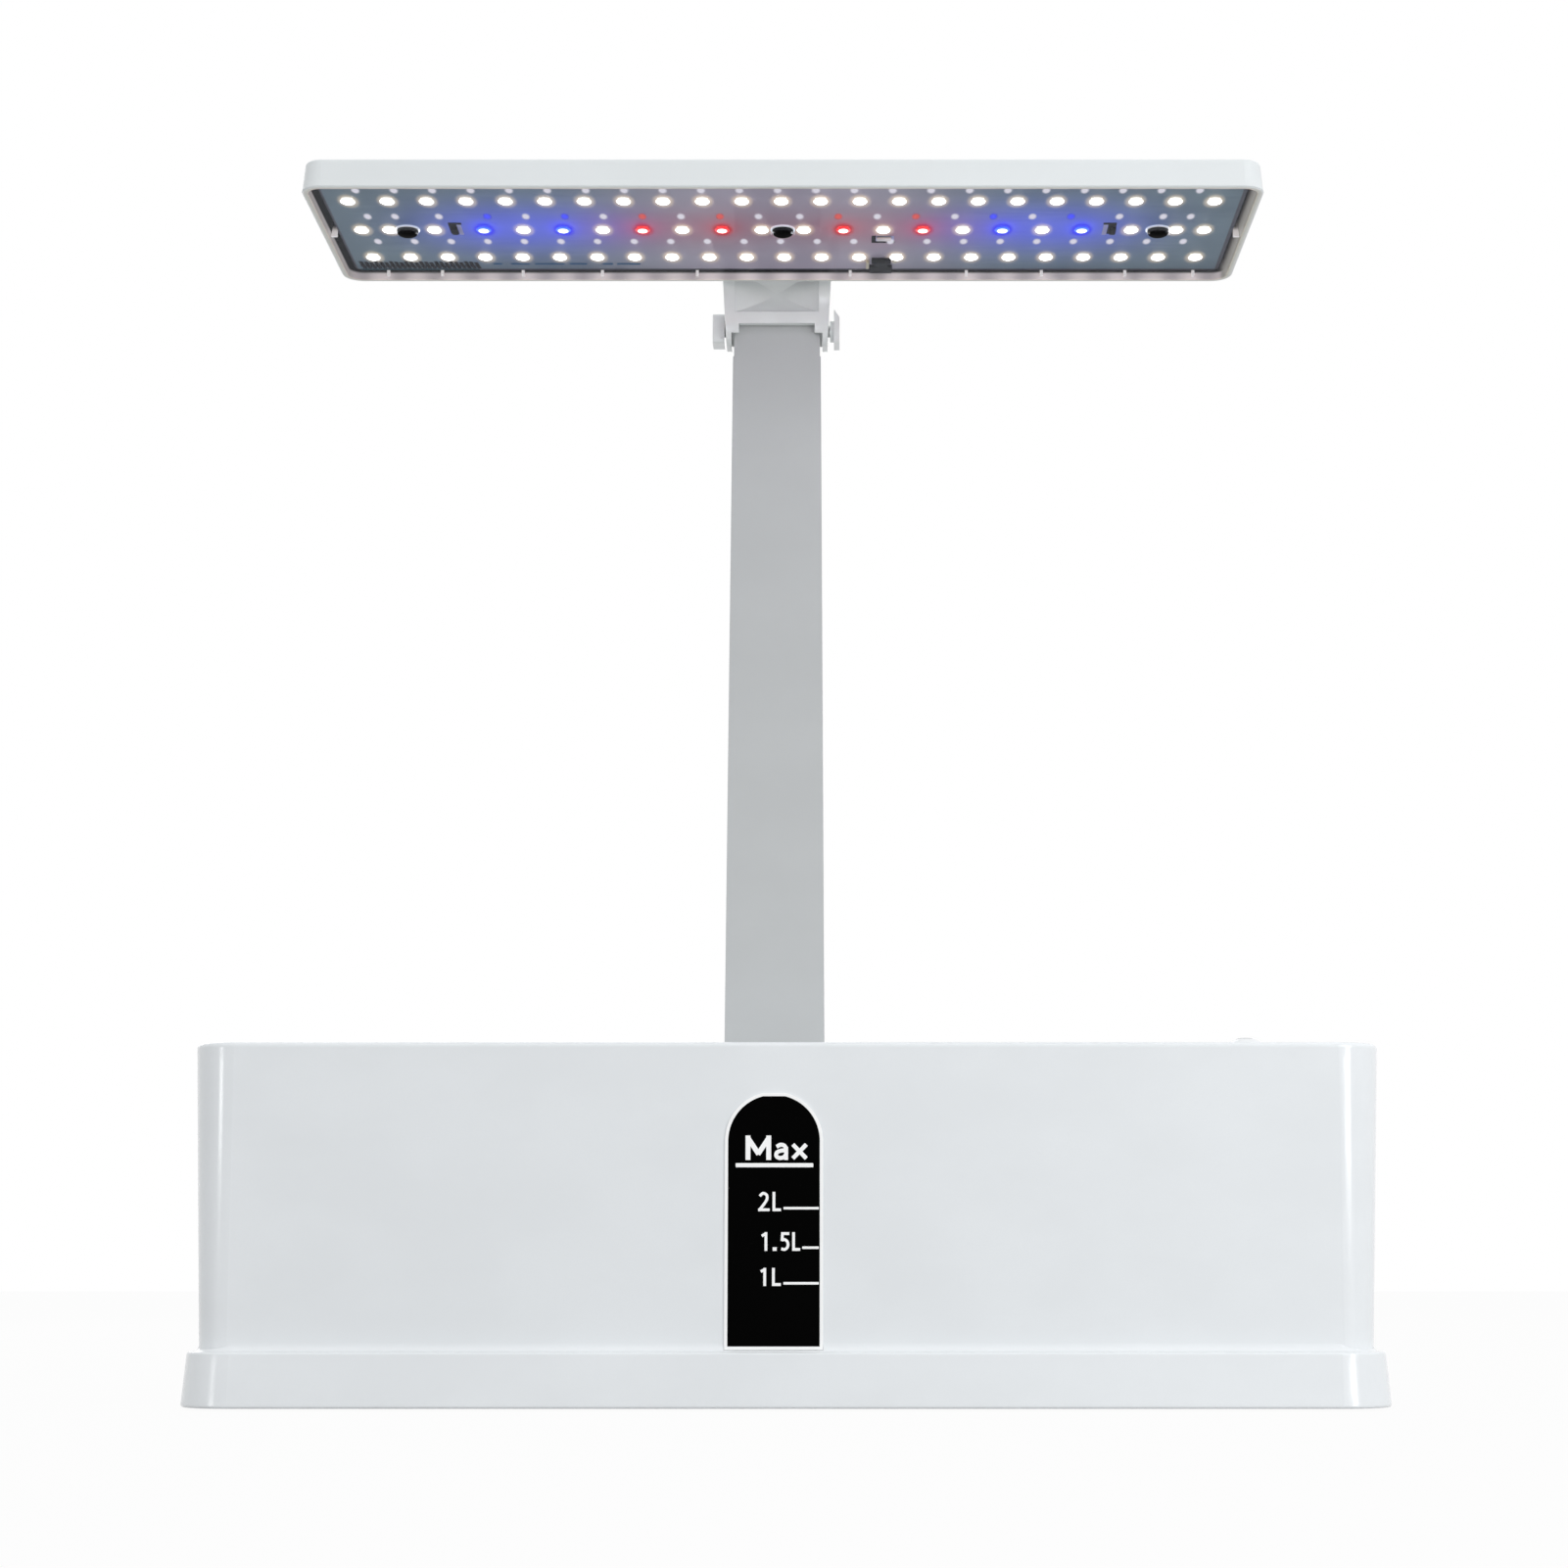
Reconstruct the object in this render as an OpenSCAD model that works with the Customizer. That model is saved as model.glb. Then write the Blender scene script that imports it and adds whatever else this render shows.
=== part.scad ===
// Countertop hydroponic garden: a water tank on a base tray, a drop-in planting deck with nine net
// baskets and a hanging pump, and a flat grow lamp that tilts on top of a slim post.
// X runs along the tank, Y to the back and Z up. The origin is under the middle of the base, at the
// level of the rubber feet. All sizes are in millimetres.

/* [Tank] */
// Width of the tank across its rim
tank_w = 366; // [360:1:380]
// Depth of the tank across its rim
tank_d = 134; // [132:1:142]
// Height of the rim above the lower edge of the tray
rim_h = 110; // [108:1:120]
// Plan radius of the upright corners at the rim
corner_r = 14; // [12:1:18]
// Wall and floor thickness
wall = 2.6; // [2.4:0.1:3]
// Thickness of the thin rim that stands round the deck
rim_t = 1.5; // [1.2:0.1:1.6]
// How far each side leans in from the rim down to the tray
lean = 3.75; // [2.5:0.25:4]

/* [Base tray] */
// Width of the tray along its lower edge
tray_w = 369; // [369:1:384]
// Depth of the tray along its lower edge
tray_d = 137; // [137:1:146]
// Height of the tray
tray_h = 16.6; // [15:0.1:18]
// How far the sides of the tray lean in
tray_lean = 1.3; // [1:0.1:1.5]
// How far the rubber feet stand out below the tray
foot_drop = 0.6; // [0.4:0.1:1]

/* [Level gauge] */
// Sideways place of the gauge
gauge_x = -3.7; // [-10:0.1:10]
// Width of the dark panel
gauge_w = 27.9; // [24:0.1:32]
// Height of the dark panel
gauge_h = 75.2; // [70:0.1:76]
// Distance from the rim down to the top of the panel
gauge_drop = 16.6; // [16:0.1:18]

/* [Pods] */
// Distance between neighbouring pods of a row
pod_pitch = 65; // [60:1:66]
// Place of the front row
front_row_y = -22; // [-23:1:-20]
// Place of the back row
back_row_y = 30; // [28:1:32]
// Radius of a hole in the deck
pod_hole_r = 15; // [14:0.1:15.5]
// Length of a net basket below the deck
basket_h = 46; // [40:1:48]

/* [Power button] */
// Sideways place of the button
button_x = 142.7; // [140:0.1:146]
// Depth place of the button
button_y = -50; // [-50:0.1:-49]
// Radius of the button
button_r = 6.8; // [6:0.1:7]
// Travel of the button
button_travel = 0.8; // [0.6:0.1:0.8]

/* [Post and hinge] */
// Sideways place of the post
post_x = -6; // [-8:0.1:6]
// Place of the front face of the post
post_y = 36.3; // [34:0.1:37]
// Width of the post at the deck
post_w = 34.2; // [32:0.1:35]
// Width of the post under the hinge
post_top_w = 31.1; // [30:0.1:31.2]
// Depth of the post at the deck
post_d = 20; // [18:0.1:20]
// Height of the hinge axis above the lower edge of the tray
pivot_h = 371.8; // [340:0.1:400]
// Radius of the knuckle on top of the post
knuckle_r = 5.5; // [5:0.1:5.6]
// Radius of the hinge bolt
pin_r = 2; // [1.8:0.1:2.2]

/* [Lamp] */
// Sideways place of the lamp
lamp_x = -2.2; // [-6:0.1:0]
// Depth place of the middle of the lamp
lamp_y = -16; // [-17:0.1:-16]
// Width of the lamp along its lower edge
lamp_w = 313; // [309:1:330]
// Depth of the lamp along its lower edge
lamp_d = 92; // [91:1:92]
// Height of the lamp housing
lamp_h = 10; // [10:0.1:12]
// Height of the lamp's lower edge above the hinge axis
lamp_rise = 14.7; // [14.7:0.1:16]
// Distance between neighbouring LEDs of the outer rows
led_pitch = 13; // [12.8:0.05:13]
// Distance between the rows of LEDs
row_pitch = 27; // [26:0.1:28]

/* [Hidden] */
$fn = 64;
eps = 0.01;
slide_gap = 0.3;      // between parts that move past each other
seat_gap = 0.1;       // under a part that lifts off its seat
run_gap = 0.05;       // radial play of a pin in its bore

z0 = foot_drop;                     // lower edge of the tray
rim_z = z0 + rim_h;
tray_top = z0 + tray_h;
slope = lean / (rim_h - tray_h);    // inward lean for each millimetre of depth
slope_deg = atan(slope);
floor_z = z0 + 13;                  // top of the tank floor
tank_foot = floor_z - wall;
deck_top = rim_z - 0.2;
deck_t = 3;
deck_z = deck_top - deck_t;         // underside of the deck plate
ledge_z = deck_z - seat_gap;        // step inside the rim that carries the deck
collar_h = 6;
tank_r_foot = corner_r - lean;
tank_w_foot = tank_w - 2 * lean;
tank_d_foot = tank_d - 2 * lean;

pod_steps = [-2, -1, 0, 1, 2, -2, -1, 1, 2];    // five in the front row, four in the back row
pod_wall = 1.4;
flange_r = pod_hole_r + 3;
flange_t = 1.8;
flange_sink = 1.2;                  // counterbore of the deck round a basket
flange_z = deck_top - flange_sink + seat_gap;
basket_r = pod_hole_r - 0.5;
basket_tip_r = 10.5;

box_l = 46;                         // control box under the button
box_d = 20;
box_y = button_y - 0.8;
box_top = deck_z - 1;
box_z = box_top - 22;
ear_step = box_l / 2 + 3;           // from the button's axis to the screw ears of the box
board_z = box_z + 6;
stem_end = board_z + 1.6 + 3.5 + 1.2 + button_travel + 0.1;

harness_z = deck_z - collar_h - 1.6;    // lead under the deck's ribs
harness_x = 1.5 * pod_pitch;
harness_y = (front_row_y + back_row_y) / 2;

socket_h = 6;                       // collar that stands on the deck round the post
socket_floor = deck_z - 4;
socket_t = 3;
post_z = socket_floor + eps;        // underside of the post
post_back = post_y + post_d;
post_mid = post_y + post_d / 2;
pivot_y = post_y + knuckle_r;
pivot_z = z0 + pivot_h;
post_top = pivot_z - 10.8;          // shoulder of the post under the knuckle
post_top_back = pivot_y + 5.2;
jack_z = rim_z + 15;
cover_lo = rim_z + 7;               // back cover of the post
cover_hi = post_top - 6;
cover_t = 1.8;
cover_screws = [rim_z + 40, rim_z + 150, cover_hi - 12];
cover_x = post_x - 8;               // column of the cover's screws
lead_x = post_x + 8;                // the lead runs on the other side of the post
lead_way_r = 4.4;
lead_y = pivot_y + 3.9;             // the lamp's lead passes behind the hinge bolt

pump_y = 38;
pump_r = 17;
pump_z = floor_z + 8;               // seam of the motor and the volute
pump_top = pump_z + 24;
port_y = 7;                         // outlet, behind the pump's axis
port_z = pump_z - 3;

ear_in = 16.1;                      // half the gap between the ears of the yoke
ear_r = 8.8;
ear_drop = 6.4;                     // how far the ears reach below the hinge axis
rim_lamp = pivot_z + lamp_rise;     // lower edge of the lamp
lamp_top = rim_lamp + lamp_h;
lamp_r = 7;
lamp_wall = 2;
lamp_lean = 0.9;
lamp_back = lamp_y + lamp_d / 2;
board_w = lamp_w - 9.2;
board_d = lamp_d - 7.6;
board_under = rim_lamp + 2.9;
board_t = 1.6;
led_h = 0.7;
yoke_front = pivot_y - ear_r;
yoke_t = 2.4;                       // thickness of the yoke's flange on the roof
board_x = lamp_x - 0.8;             // middle of the pattern of LEDs and screws

// Middle row of LEDs: colour code and distance from the middle as a multiple of the pitch
middle_row = [["w", 0.55], ["r", 1.58], ["w", 2.62], ["r", 3.65], ["w", 4.69], ["b", 5.72], ["w", 6.76],
    ["b", 7.79], ["w", 9.08], ["w", 10.25], ["w", 10.98]];
peg_x = 127.2;                      // pegs with the board's screws
peg_y = 1;
peg_r = 4;
board_head_r = 3.6;                 // heads of the board's screws
washer_t = 0.4;
hooks = [[-111.5, 0, 90], [111.5, 0, 90], [34.4, 8, 0]];    // snap hooks: x, y and turn
vents = 24;                         // narrow air slots in the board
vent_x = -149;
vent_pitch = 1.75;
grommet_x = board_x + 33.7;
grommet_y = lamp_y + board_d / 2 - 5.4;
lamp_lead_z = lamp_top - 3.9;

// Routes of the leads
harness_route = [
    [button_x - box_l / 2 + 4, box_y, box_top - 10], [button_x - box_l / 2 - 4, box_y, box_top - 10],
    [harness_x + 12, box_y + 1, harness_z], [harness_x + 4, box_y + 4, harness_z],
    [harness_x + 1, box_y + 10, harness_z], [harness_x, box_y + 18, harness_z],
    [harness_x, harness_y - 10, harness_z], [harness_x - 2, harness_y - 4, harness_z],
    [harness_x - 7, harness_y, harness_z], [60, harness_y, harness_z], [20, harness_y, harness_z],
    [4, harness_y + 2, harness_z], [-2, harness_y + 8, harness_z - 0.5], [-5, 22, harness_z - 1.5],
    [post_x, 30, harness_z - 3.4], [post_x, 37, harness_z - 3.8], [post_x, 41, harness_z - 3],
    [post_x, 42.7, harness_z - 1], [post_x, 42.9, harness_z + 2], [post_x, 42.9, harness_z + 12]];
post_lead_route = [
    [post_x + 3, post_y + 8, jack_z + 7], [lead_x, post_y + 8, jack_z + 16],
    [post_x + 9, post_y + 8, jack_z + 30], [post_x + 9, post_y + 7.5, rim_z + 110],
    [post_x + 9, post_y + 6.5, post_top - 60], [post_x + 8.5, post_y + 6, post_top - 22],
    [lead_x, pivot_y + 0.8, post_top - 14], [lead_x, pivot_y + 1.7, post_top - 8],
    [lead_x, pivot_y + 3.1, post_top - 2], [lead_x, lead_y, post_top + 4],
    [lead_x, lead_y, pivot_z + 2]];
lamp_lead_route = [
    [lead_x, lead_y - 0.6, pivot_z + 7.2], [lead_x, lead_y - 1.2, lamp_lead_z - 8],
    [lead_x, lead_y - 2, lamp_lead_z - 3], [lead_x, lead_y - 4, lamp_lead_z - 0.7],
    [lead_x, lead_y - 8, lamp_lead_z], [lead_x, lamp_back, lamp_lead_z],
    [post_x + 8.6, lamp_back - 6, lamp_lead_z],
    [post_x + 12, lamp_back - 10, lamp_lead_z], [post_x + 18, lamp_back - 12, lamp_lead_z],
    [grommet_x - 8, lamp_back - 12.4, lamp_lead_z], [grommet_x - 3, lamp_back - 12.2, lamp_lead_z],
    [grommet_x - 0.6, grommet_y - 2.8, lamp_lead_z - 0.3], [grommet_x, grommet_y - 1.5, lamp_lead_z - 0.4],
    [grommet_x, grommet_y - 0.02, lamp_lead_z - 0.4]];

// ---- helpers ----

// Points of an arc about (cx, cy) from angle a to angle b
function arc(cx, cy, r, a, b, n = 6) = [for (i = [0:n]) let (t = a + (b - a) * i / n)
    [cx + r * cos(t), cy + r * sin(t)]];

// Rectangle with round corners, centred
module round_rect(w, d, r) {
    square([w, d - 2 * r], center = true);
    square([w - 2 * r, d], center = true);
    for (x = [-1, 1], y = [-1, 1]) translate([x * (w / 2 - r), y * (d / 2 - r)]) circle(r);
}

// Upright plate with round corners from z = lo to z = hi
module slab(w, d, r, lo, hi) {
    translate([0, 0, lo]) linear_extrude(hi - lo) round_rect(w, d, r);
}

// Sweeps a wall section round a rectangle with corners of radius r. The section's x counts outwards
// from the corner centres, so x = r lies on the outline, and its y is the height.
module wall_sweep(w, d, r) {
    cx = w / 2 - r;
    cy = d / 2 - r;
    for (c = [[1, 1, 0], [-1, 1, 90], [-1, -1, 180], [1, -1, 270]])
        translate([c[0] * cx, c[1] * cy, 0]) rotate([0, 0, c[2]]) rotate_extrude(angle = 90) children();
    for (a = [0, 180]) {
        rotate([0, 0, a]) translate([cx, 0, 0]) rotate([90, 0, 0])
            linear_extrude(2 * cy, center = true) children();
        rotate([0, 0, a + 90]) translate([cy, 0, 0]) rotate([90, 0, 0])
            linear_extrude(2 * cx, center = true) children();
    }
}

// Extrudes an outline drawn in X and Z through a depth from y = lo to y = hi
module front_plate(lo, hi) {
    translate([0, hi, 0]) rotate([90, 0, 0]) linear_extrude(hi - lo) children();
}

// Extrudes an outline drawn in Y and Z through a width from x = lo to x = hi
module side_plate(lo, hi) {
    translate([lo, 0, 0]) rotate([90, 0, 90]) linear_extrude(hi - lo) children();
}

// Tube along a route of points, for a lead
function unit(v) = v / norm(v);
function heading(p, i) = unit(p[min(i + 1, len(p) - 1)] - p[max(i - 1, 0)]);
function ring(p, i, r, n) = let (t = heading(p, i), u = unit(cross([1, 2, 3], t)), v = cross(t, u))
    [for (k = [0:n - 1]) p[i] + r * (cos(360 * k / n) * u + sin(360 * k / n) * v)];
module lead(p, r, n = 8) {
    rings = len(p);
    polyhedron(
        points = [for (i = [0:rings - 1]) each ring(p, i, r, n)],
        faces = concat(
            [[for (k = [0:n - 1]) k]],
            [[for (k = [n - 1:-1:0]) (rings - 1) * n + k]],
            [for (i = [0:rings - 2], k = [0:n - 1]) let (a = i * n, b = (k + 1) % n)
                [a + k, a + n + k, a + n + b]],
            [for (i = [0:rings - 2], k = [0:n - 1]) let (a = i * n, b = (k + 1) % n)
                [a + k, a + n + b, a + b]]));
}

// Pan-head screw along +Z, its head's seat at the origin and its shank above it
module screw(r, head_r, head_h, length) {
    translate([0, 0, -eps]) cylinder(r = r, h = length + eps, $fn = 24);
    rotate_extrude($fn = 32) polygon(concat([[0, 0], [head_r, 0], [head_r, -head_h / 3]],
        arc(head_r - head_h * 2 / 3, -head_h / 3, head_h * 2 / 3, 0, -90, 4), [[0, -head_h]]));
}

// ---- base ----

module base_tray() color("white") {
    tray_r = corner_r + 3;
    edge = 0.8;
    lip = 2.4;                       // concave lip that meets the tank wall
    pocket_w = tank_w_foot + 0.2;
    pocket_d = tank_d_foot + 0.2;
    pocket_r = tank_r_foot + 0.1;
    deck_lo = tank_foot - 2.2;
    pocket_x = tray_r - (tray_w - pocket_w) / 2;
    top_x = tray_r - tray_lean;
    difference() {
        union() {
            wall_sweep(tray_w, tray_d, tray_r) polygon(concat(
                [[pocket_x, z0], [tray_r - edge, z0]],
                arc(tray_r - edge, z0 + edge, edge, -90, 0, 3),
                arc(top_x - edge, tray_top - edge, edge, 0, 90, 4),
                arc(pocket_x + lip, tray_top + lip, lip, 270, 180, 5),
                [[pocket_x, tray_top + lip]]));
            slab(tray_w - 4, tray_d - 4, tray_r - 2, deck_lo, tank_foot);
        }
        // pocket that the tank stands in
        slab(pocket_w, pocket_d, pocket_r, tank_foot, tray_top + lip + 1);
        // open underside, left solid where the side wall runs down
        difference() {
            slab(tray_w - 2 * wall - 2, tray_d - 2 * wall - 2, tray_r - wall - 1, z0 - 1, deck_lo);
            for (x = [-4:4]) translate([x * 38 - 0.9, -tray_d / 2, z0 + 2])
                cube([1.8, tray_d, deck_lo - z0]);
            for (y = [-36, 0, 36]) translate([-tray_w / 2, y - 0.9, z0 + 2])
                cube([tray_w, 1.8, deck_lo - z0]);
            foot_places() cylinder(r = 10.5, h = deck_lo + 1);
        }
        foot_places() translate([0, 0, -1]) cylinder(r = 8.2, h = z0 + 2.2);
        // the lip gives way to the foot of the gauge
        on_front_wall() front_plate(-5, 0.2) gauge_outline(1.1);
    }
}

module foot_places() {
    for (x = [-1, 1], y = [-1, 1]) translate([x * (tray_w / 2 - 32), y * (tray_d / 2 - 22), 0]) children();
}

module rubber_feet() color("dimgray") foot_places() {
    rotate_extrude() polygon([[0, 0], [6.8, 0], [8, 0.5], [8, z0 + 1.2], [0, z0 + 1.2]]);
}

// ---- tank ----

// Section of the drafted tank wall, with the rim round the deck and the step that carries it
module tank_section() {
    tip = 1.4;
    fold = 2;
    bend = 3;
    floor_x = corner_r - slope * rim_h - 7;
    polygon(concat(
        [[floor_x, tank_foot]],
        arc(wall_x(tank_foot + fold) - fold / cos(slope_deg), tank_foot + fold, fold, -90, -slope_deg, 5),
        arc(wall_x(rim_z - tip) - tip / cos(slope_deg), rim_z - tip, tip, -slope_deg, 90, 5),
        [[corner_r - rim_t, rim_z], [corner_r - rim_t, ledge_z], [wall_x(ledge_z) - wall, ledge_z]],
        arc(wall_x(floor_z + bend) - wall - bend / cos(slope_deg), floor_z + bend, bend, -slope_deg, -90, 5),
        [[floor_x, floor_z]]));
}

// Outer face of the tank wall at a height, counted from the corner centre
function wall_x(z) = corner_r - slope * (rim_z - z);

// Moves into the plane of the leaning front wall: y = 0 on its outer face, z along it from the rim
module on_front_wall() {
    translate([gauge_x, -tank_d / 2, rim_z]) rotate([slope_deg, 0, 0]) children();
}

// Outline of the gauge: straight sides and a round head with a short flat on top
module gauge_outline(grow) {
    half = gauge_w / 2;
    cut_off = 0.4;
    centre = -gauge_drop - half + cut_off;
    top = -gauge_drop + grow;
    foot = -gauge_drop - gauge_h - grow;
    intersection() {
        union() {
            translate([-half - grow, foot]) square([2 * (half + grow), centre - foot]);
            translate([0, centre]) circle(half + grow, $fn = 96);
        }
        translate([-half - grow - 1, foot]) square([2 * (half + grow + 1), top - foot]);
    }
}

// Upright stiffener on the inside of the long walls, from the floor to below the deck's skirt
module wall_rib(x) {
    inner = tank_d / 2 - corner_r - wall;
    top = ledge_z - 8;
    side_plate(x - 0.8, x + 0.8) polygon([
        [inner + wall_x(top - 4) - 2, top - 4], [inner + wall_x(top) + 0.8, top],
        [inner + wall_x(floor_z) + 0.8, floor_z - 1], [inner + wall_x(floor_z) - 3, floor_z - 1]]);
}

module water_tank() color("white") difference() {
    union() {
        wall_sweep(tank_w, tank_d, corner_r) tank_section();
        slab(tank_w - 2 * (corner_r - 6), tank_d - 2 * (corner_r - 6), 6, tank_foot, floor_z);
        for (x = [-150, -100, -50, 50, 100, 150]) {
            wall_rib(x);
            mirror([0, 1, 0]) wall_rib(x);
        }
    }
    on_front_wall() front_plate(-1, wall + 1) gauge_outline(-1.4);
}

module gauge_window() color("black") on_front_wall() {
    front_plate(-0.3, 0) gauge_outline(0);
    front_plate(-eps, wall + 0.9) gauge_outline(-1.6);
    front_plate(wall + 0.8, wall + 2) gauge_outline(1);
}

module gauge_bezel() color("white") on_front_wall() front_plate(-0.5, -eps) difference() {
    gauge_outline(1);
    gauge_outline(0.02);
}

module gauge_seal() color("gray") on_front_wall() front_plate(wall + 0.05, wall + 0.8) difference() {
    gauge_outline(0.8);
    gauge_outline(-1.5);
}

// ---- planting deck ----

function pod_place(i) = [pod_steps[i] * pod_pitch, i < 5 ? front_row_y : back_row_y, 0];

module pod_deck() color("white") {
    edge = rim_t + 0.15;
    skirt_w = tank_w - 2 * (wall + slope * (rim_z - ledge_z + 5)) - 0.8;
    skirt_d = skirt_w - tank_w + tank_d;
    skirt_r = corner_r - wall - 0.4;
    difference() {
        union() {
            slab(tank_w - 2 * edge, tank_d - 2 * edge, corner_r - edge, deck_z, deck_top);
            // locating skirt and stiffening ribs under the plate
            difference() {
                slab(skirt_w, skirt_d, skirt_r, deck_z - 5, deck_z + 1);
                slab(skirt_w - 3.2, skirt_d - 3.2, skirt_r - 1.6, deck_z - 6, deck_z);
            }
            for (x = [-1.5, -0.5, 0.5, 1.5]) translate([x * pod_pitch - 0.8, -40, deck_z - collar_h])
                cube([1.6, 92, collar_h + 1]);
            translate([-150, (front_row_y + back_row_y) / 2 - 0.8, deck_z - collar_h])
                cube([300, 1.6, collar_h + 1]);
            for (i = [0:8]) translate(pod_place(i)) translate([0, 0, deck_z - collar_h])
                cylinder(r = pod_hole_r + 1.6, h = collar_h + 1);
            // socket of the post
            translate([post_x - 20, post_y - 3, socket_floor - socket_t])
                cube([40, post_d + 6, deck_top + socket_h - socket_floor + socket_t]);
            // boss round the button
            translate([button_x, button_y, deck_top - eps])
                cylinder(r1 = button_r + 2.4, r2 = button_r + 1.4, h = 0.8);
            for (x = [-1, 1]) translate([button_x + x * ear_step, box_y, box_top - 3])
                cylinder(r = 2.6, h = deck_z - box_top + 3.5);
        }
        for (i = [0:8]) translate(pod_place(i)) {
            translate([0, 0, deck_z - collar_h - 1]) cylinder(r = pod_hole_r, h = 20);
            translate([0, 0, deck_top - flange_sink]) cylinder(r = flange_r + 0.3, h = 5);
        }
        translate([post_x, post_mid, 0])
            slab(post_w + 0.4, post_d + 0.2, 0.6, socket_floor, deck_top + socket_h + 1);
        post_screw_places() translate([0, 0, socket_floor - socket_t - 1]) cylinder(r = 1.6, h = 6);
        lead_way() translate([0, 0, socket_floor - socket_t - 1]) cylinder(r = lead_way_r, h = 6);
        translate([button_x, button_y, deck_z - 1]) cylinder(r = button_r + slide_gap, h = 8);
        for (x = [-1, 1]) translate([button_x + x * ear_step, box_y, box_top - 4])
            cylinder(r = 1, h = 5.5, $fn = 24);
    }
}

module post_screw_places() {
    for (x = [-11, 11]) translate([post_x + x, post_mid, 0]) children();
}

// Axis of the hole that brings both leads up into the post
module lead_way() translate([post_x, post_y + 9, 0]) children();

// Net basket: a slotted cup that hangs by its flange
module pod_basket(i) color("whitesmoke") translate(pod_place(i)) {
    tip = flange_z - basket_h;
    difference() {
        rotate_extrude() polygon([
            [0, tip], [basket_tip_r - 1, tip], [basket_tip_r, tip + 1], [basket_r, flange_z],
            [flange_r - 0.6, flange_z], [flange_r, flange_z + 0.6], [flange_r - 0.5, flange_z + flange_t],
            [basket_r - pod_wall + 0.4, flange_z + flange_t], [basket_r - pod_wall, flange_z],
            [basket_tip_r - pod_wall, tip + 1.6], [0, tip + 1.6]]);
        for (a = [0:45:315]) rotate([0, 0, a]) {
            translate([4, -1.5, tip + 7]) cube([20, 3, 13]);
            translate([4, -1.5, tip + 23]) cube([20, 3, 13]);
        }
        for (a = [0:60:300]) rotate([0, 0, a]) translate([5.5, 0, tip - 1]) cylinder(r = 1.5, h = 4, $fn = 24);
    }
}

// Growing sponge: a tapered plug with a seed hole in its top
module pod_sponge(i) color("saddlebrown") translate(pod_place(i)) {
    tip = flange_z - basket_h + 1.6;
    top = flange_z - 1;
    gap = 0.3;
    r1 = basket_tip_r - pod_wall - gap;
    r2 = basket_r - pod_wall - gap;
    difference() {
        rotate_extrude() polygon([[0, tip], [r1 - 0.5, tip], [r1, tip + 0.8], [r2, top - 1],
            [r2 - 1, top], [0, top]]);
        translate([0, 0, top - 16]) cylinder(r = 1.8, h = 20);
    }
}

// ---- control box ----

module box_outline(grow) {
    translate([button_x, box_y]) round_rect(box_l + 2 * grow, box_d + 2 * grow, 2.6 + grow);
}

module control_box() color("white") difference() {
    union() {
        translate([0, 0, box_z]) linear_extrude(box_top - box_z) box_outline(0);
        for (x = [-1, 1]) translate([button_x + x * ear_step, box_y, box_top - 6])
            cylinder(r = 3, h = 3);
        translate([button_x - ear_step, box_y - 1.5, box_top - 6]) cube([2 * ear_step, 3, 3]);
    }
    translate([0, 0, box_z + 1.6]) linear_extrude(box_top) box_outline(-1.6);
    for (x = [-1, 1]) translate([button_x + x * ear_step, box_y, box_top - 7])
        cylinder(r = 1.3, h = 6, $fn = 24);
    translate([button_x - box_l / 2 - 1, box_y, box_top - 10]) rotate([0, 90, 0]) cylinder(r = 1.5, h = 5);
}

module box_gasket() color("gray") translate([0, 0, box_top]) linear_extrude(1) difference() {
    box_outline(0);
    box_outline(-1.6);
}

module control_board() color("green") {
    translate([button_x - 20, box_y - 7.5, board_z]) cube([40, 15, 1.6]);
    for (x = [-17, 17], y = [-5, 5]) translate([button_x + x, box_y + y, box_z + 1.6])
        cylinder(r = 1.5, h = board_z - box_z - 1.6, $fn = 24);
    translate([button_x + 9, box_y - 4, board_z + 1.6]) cube([8, 8, 2.2]);
    translate([button_x - 17, box_y - 3, board_z + 1.6]) cube([6, 6, 5]);
}

module tact_switch() color("black") translate([button_x, button_y, board_z + 1.6]) {
    translate([-3, -3, 0]) cube([6, 6, 3.5]);
    cylinder(r = 1.7, h = 4.7);
}

module box_screws() color("silver") for (x = [-1, 1])
    translate([button_x + x * ear_step, box_y, box_top - 6]) screw(0.95, 2.2, 1.4, 7);

module power_button() color("white") translate([button_x, button_y, 0]) {
    dome_h = 2.7;
    dome_r = (button_r * button_r + dome_h * dome_h) / (2 * dome_h);
    top = deck_top + dome_h;
    intersection() {
        translate([0, 0, top - dome_r]) sphere(dome_r, $fn = 96);
        translate([0, 0, deck_top]) cylinder(r = button_r, h = dome_h + 1);
    }
    translate([0, 0, deck_z - 1.6]) cylinder(r = button_r, h = deck_t + 1.6);
    translate([0, 0, deck_z - 1.6]) cylinder(r = button_r + 0.7, h = 1.4);
    translate([0, 0, stem_end]) cylinder(r = 2.2, h = deck_z - stem_end);
}

// Lead from the control box to the foot of the post, tied under the deck
module deck_harness() color("dimgray") lead(harness_route, 1.2);

// ---- pump ----

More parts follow.
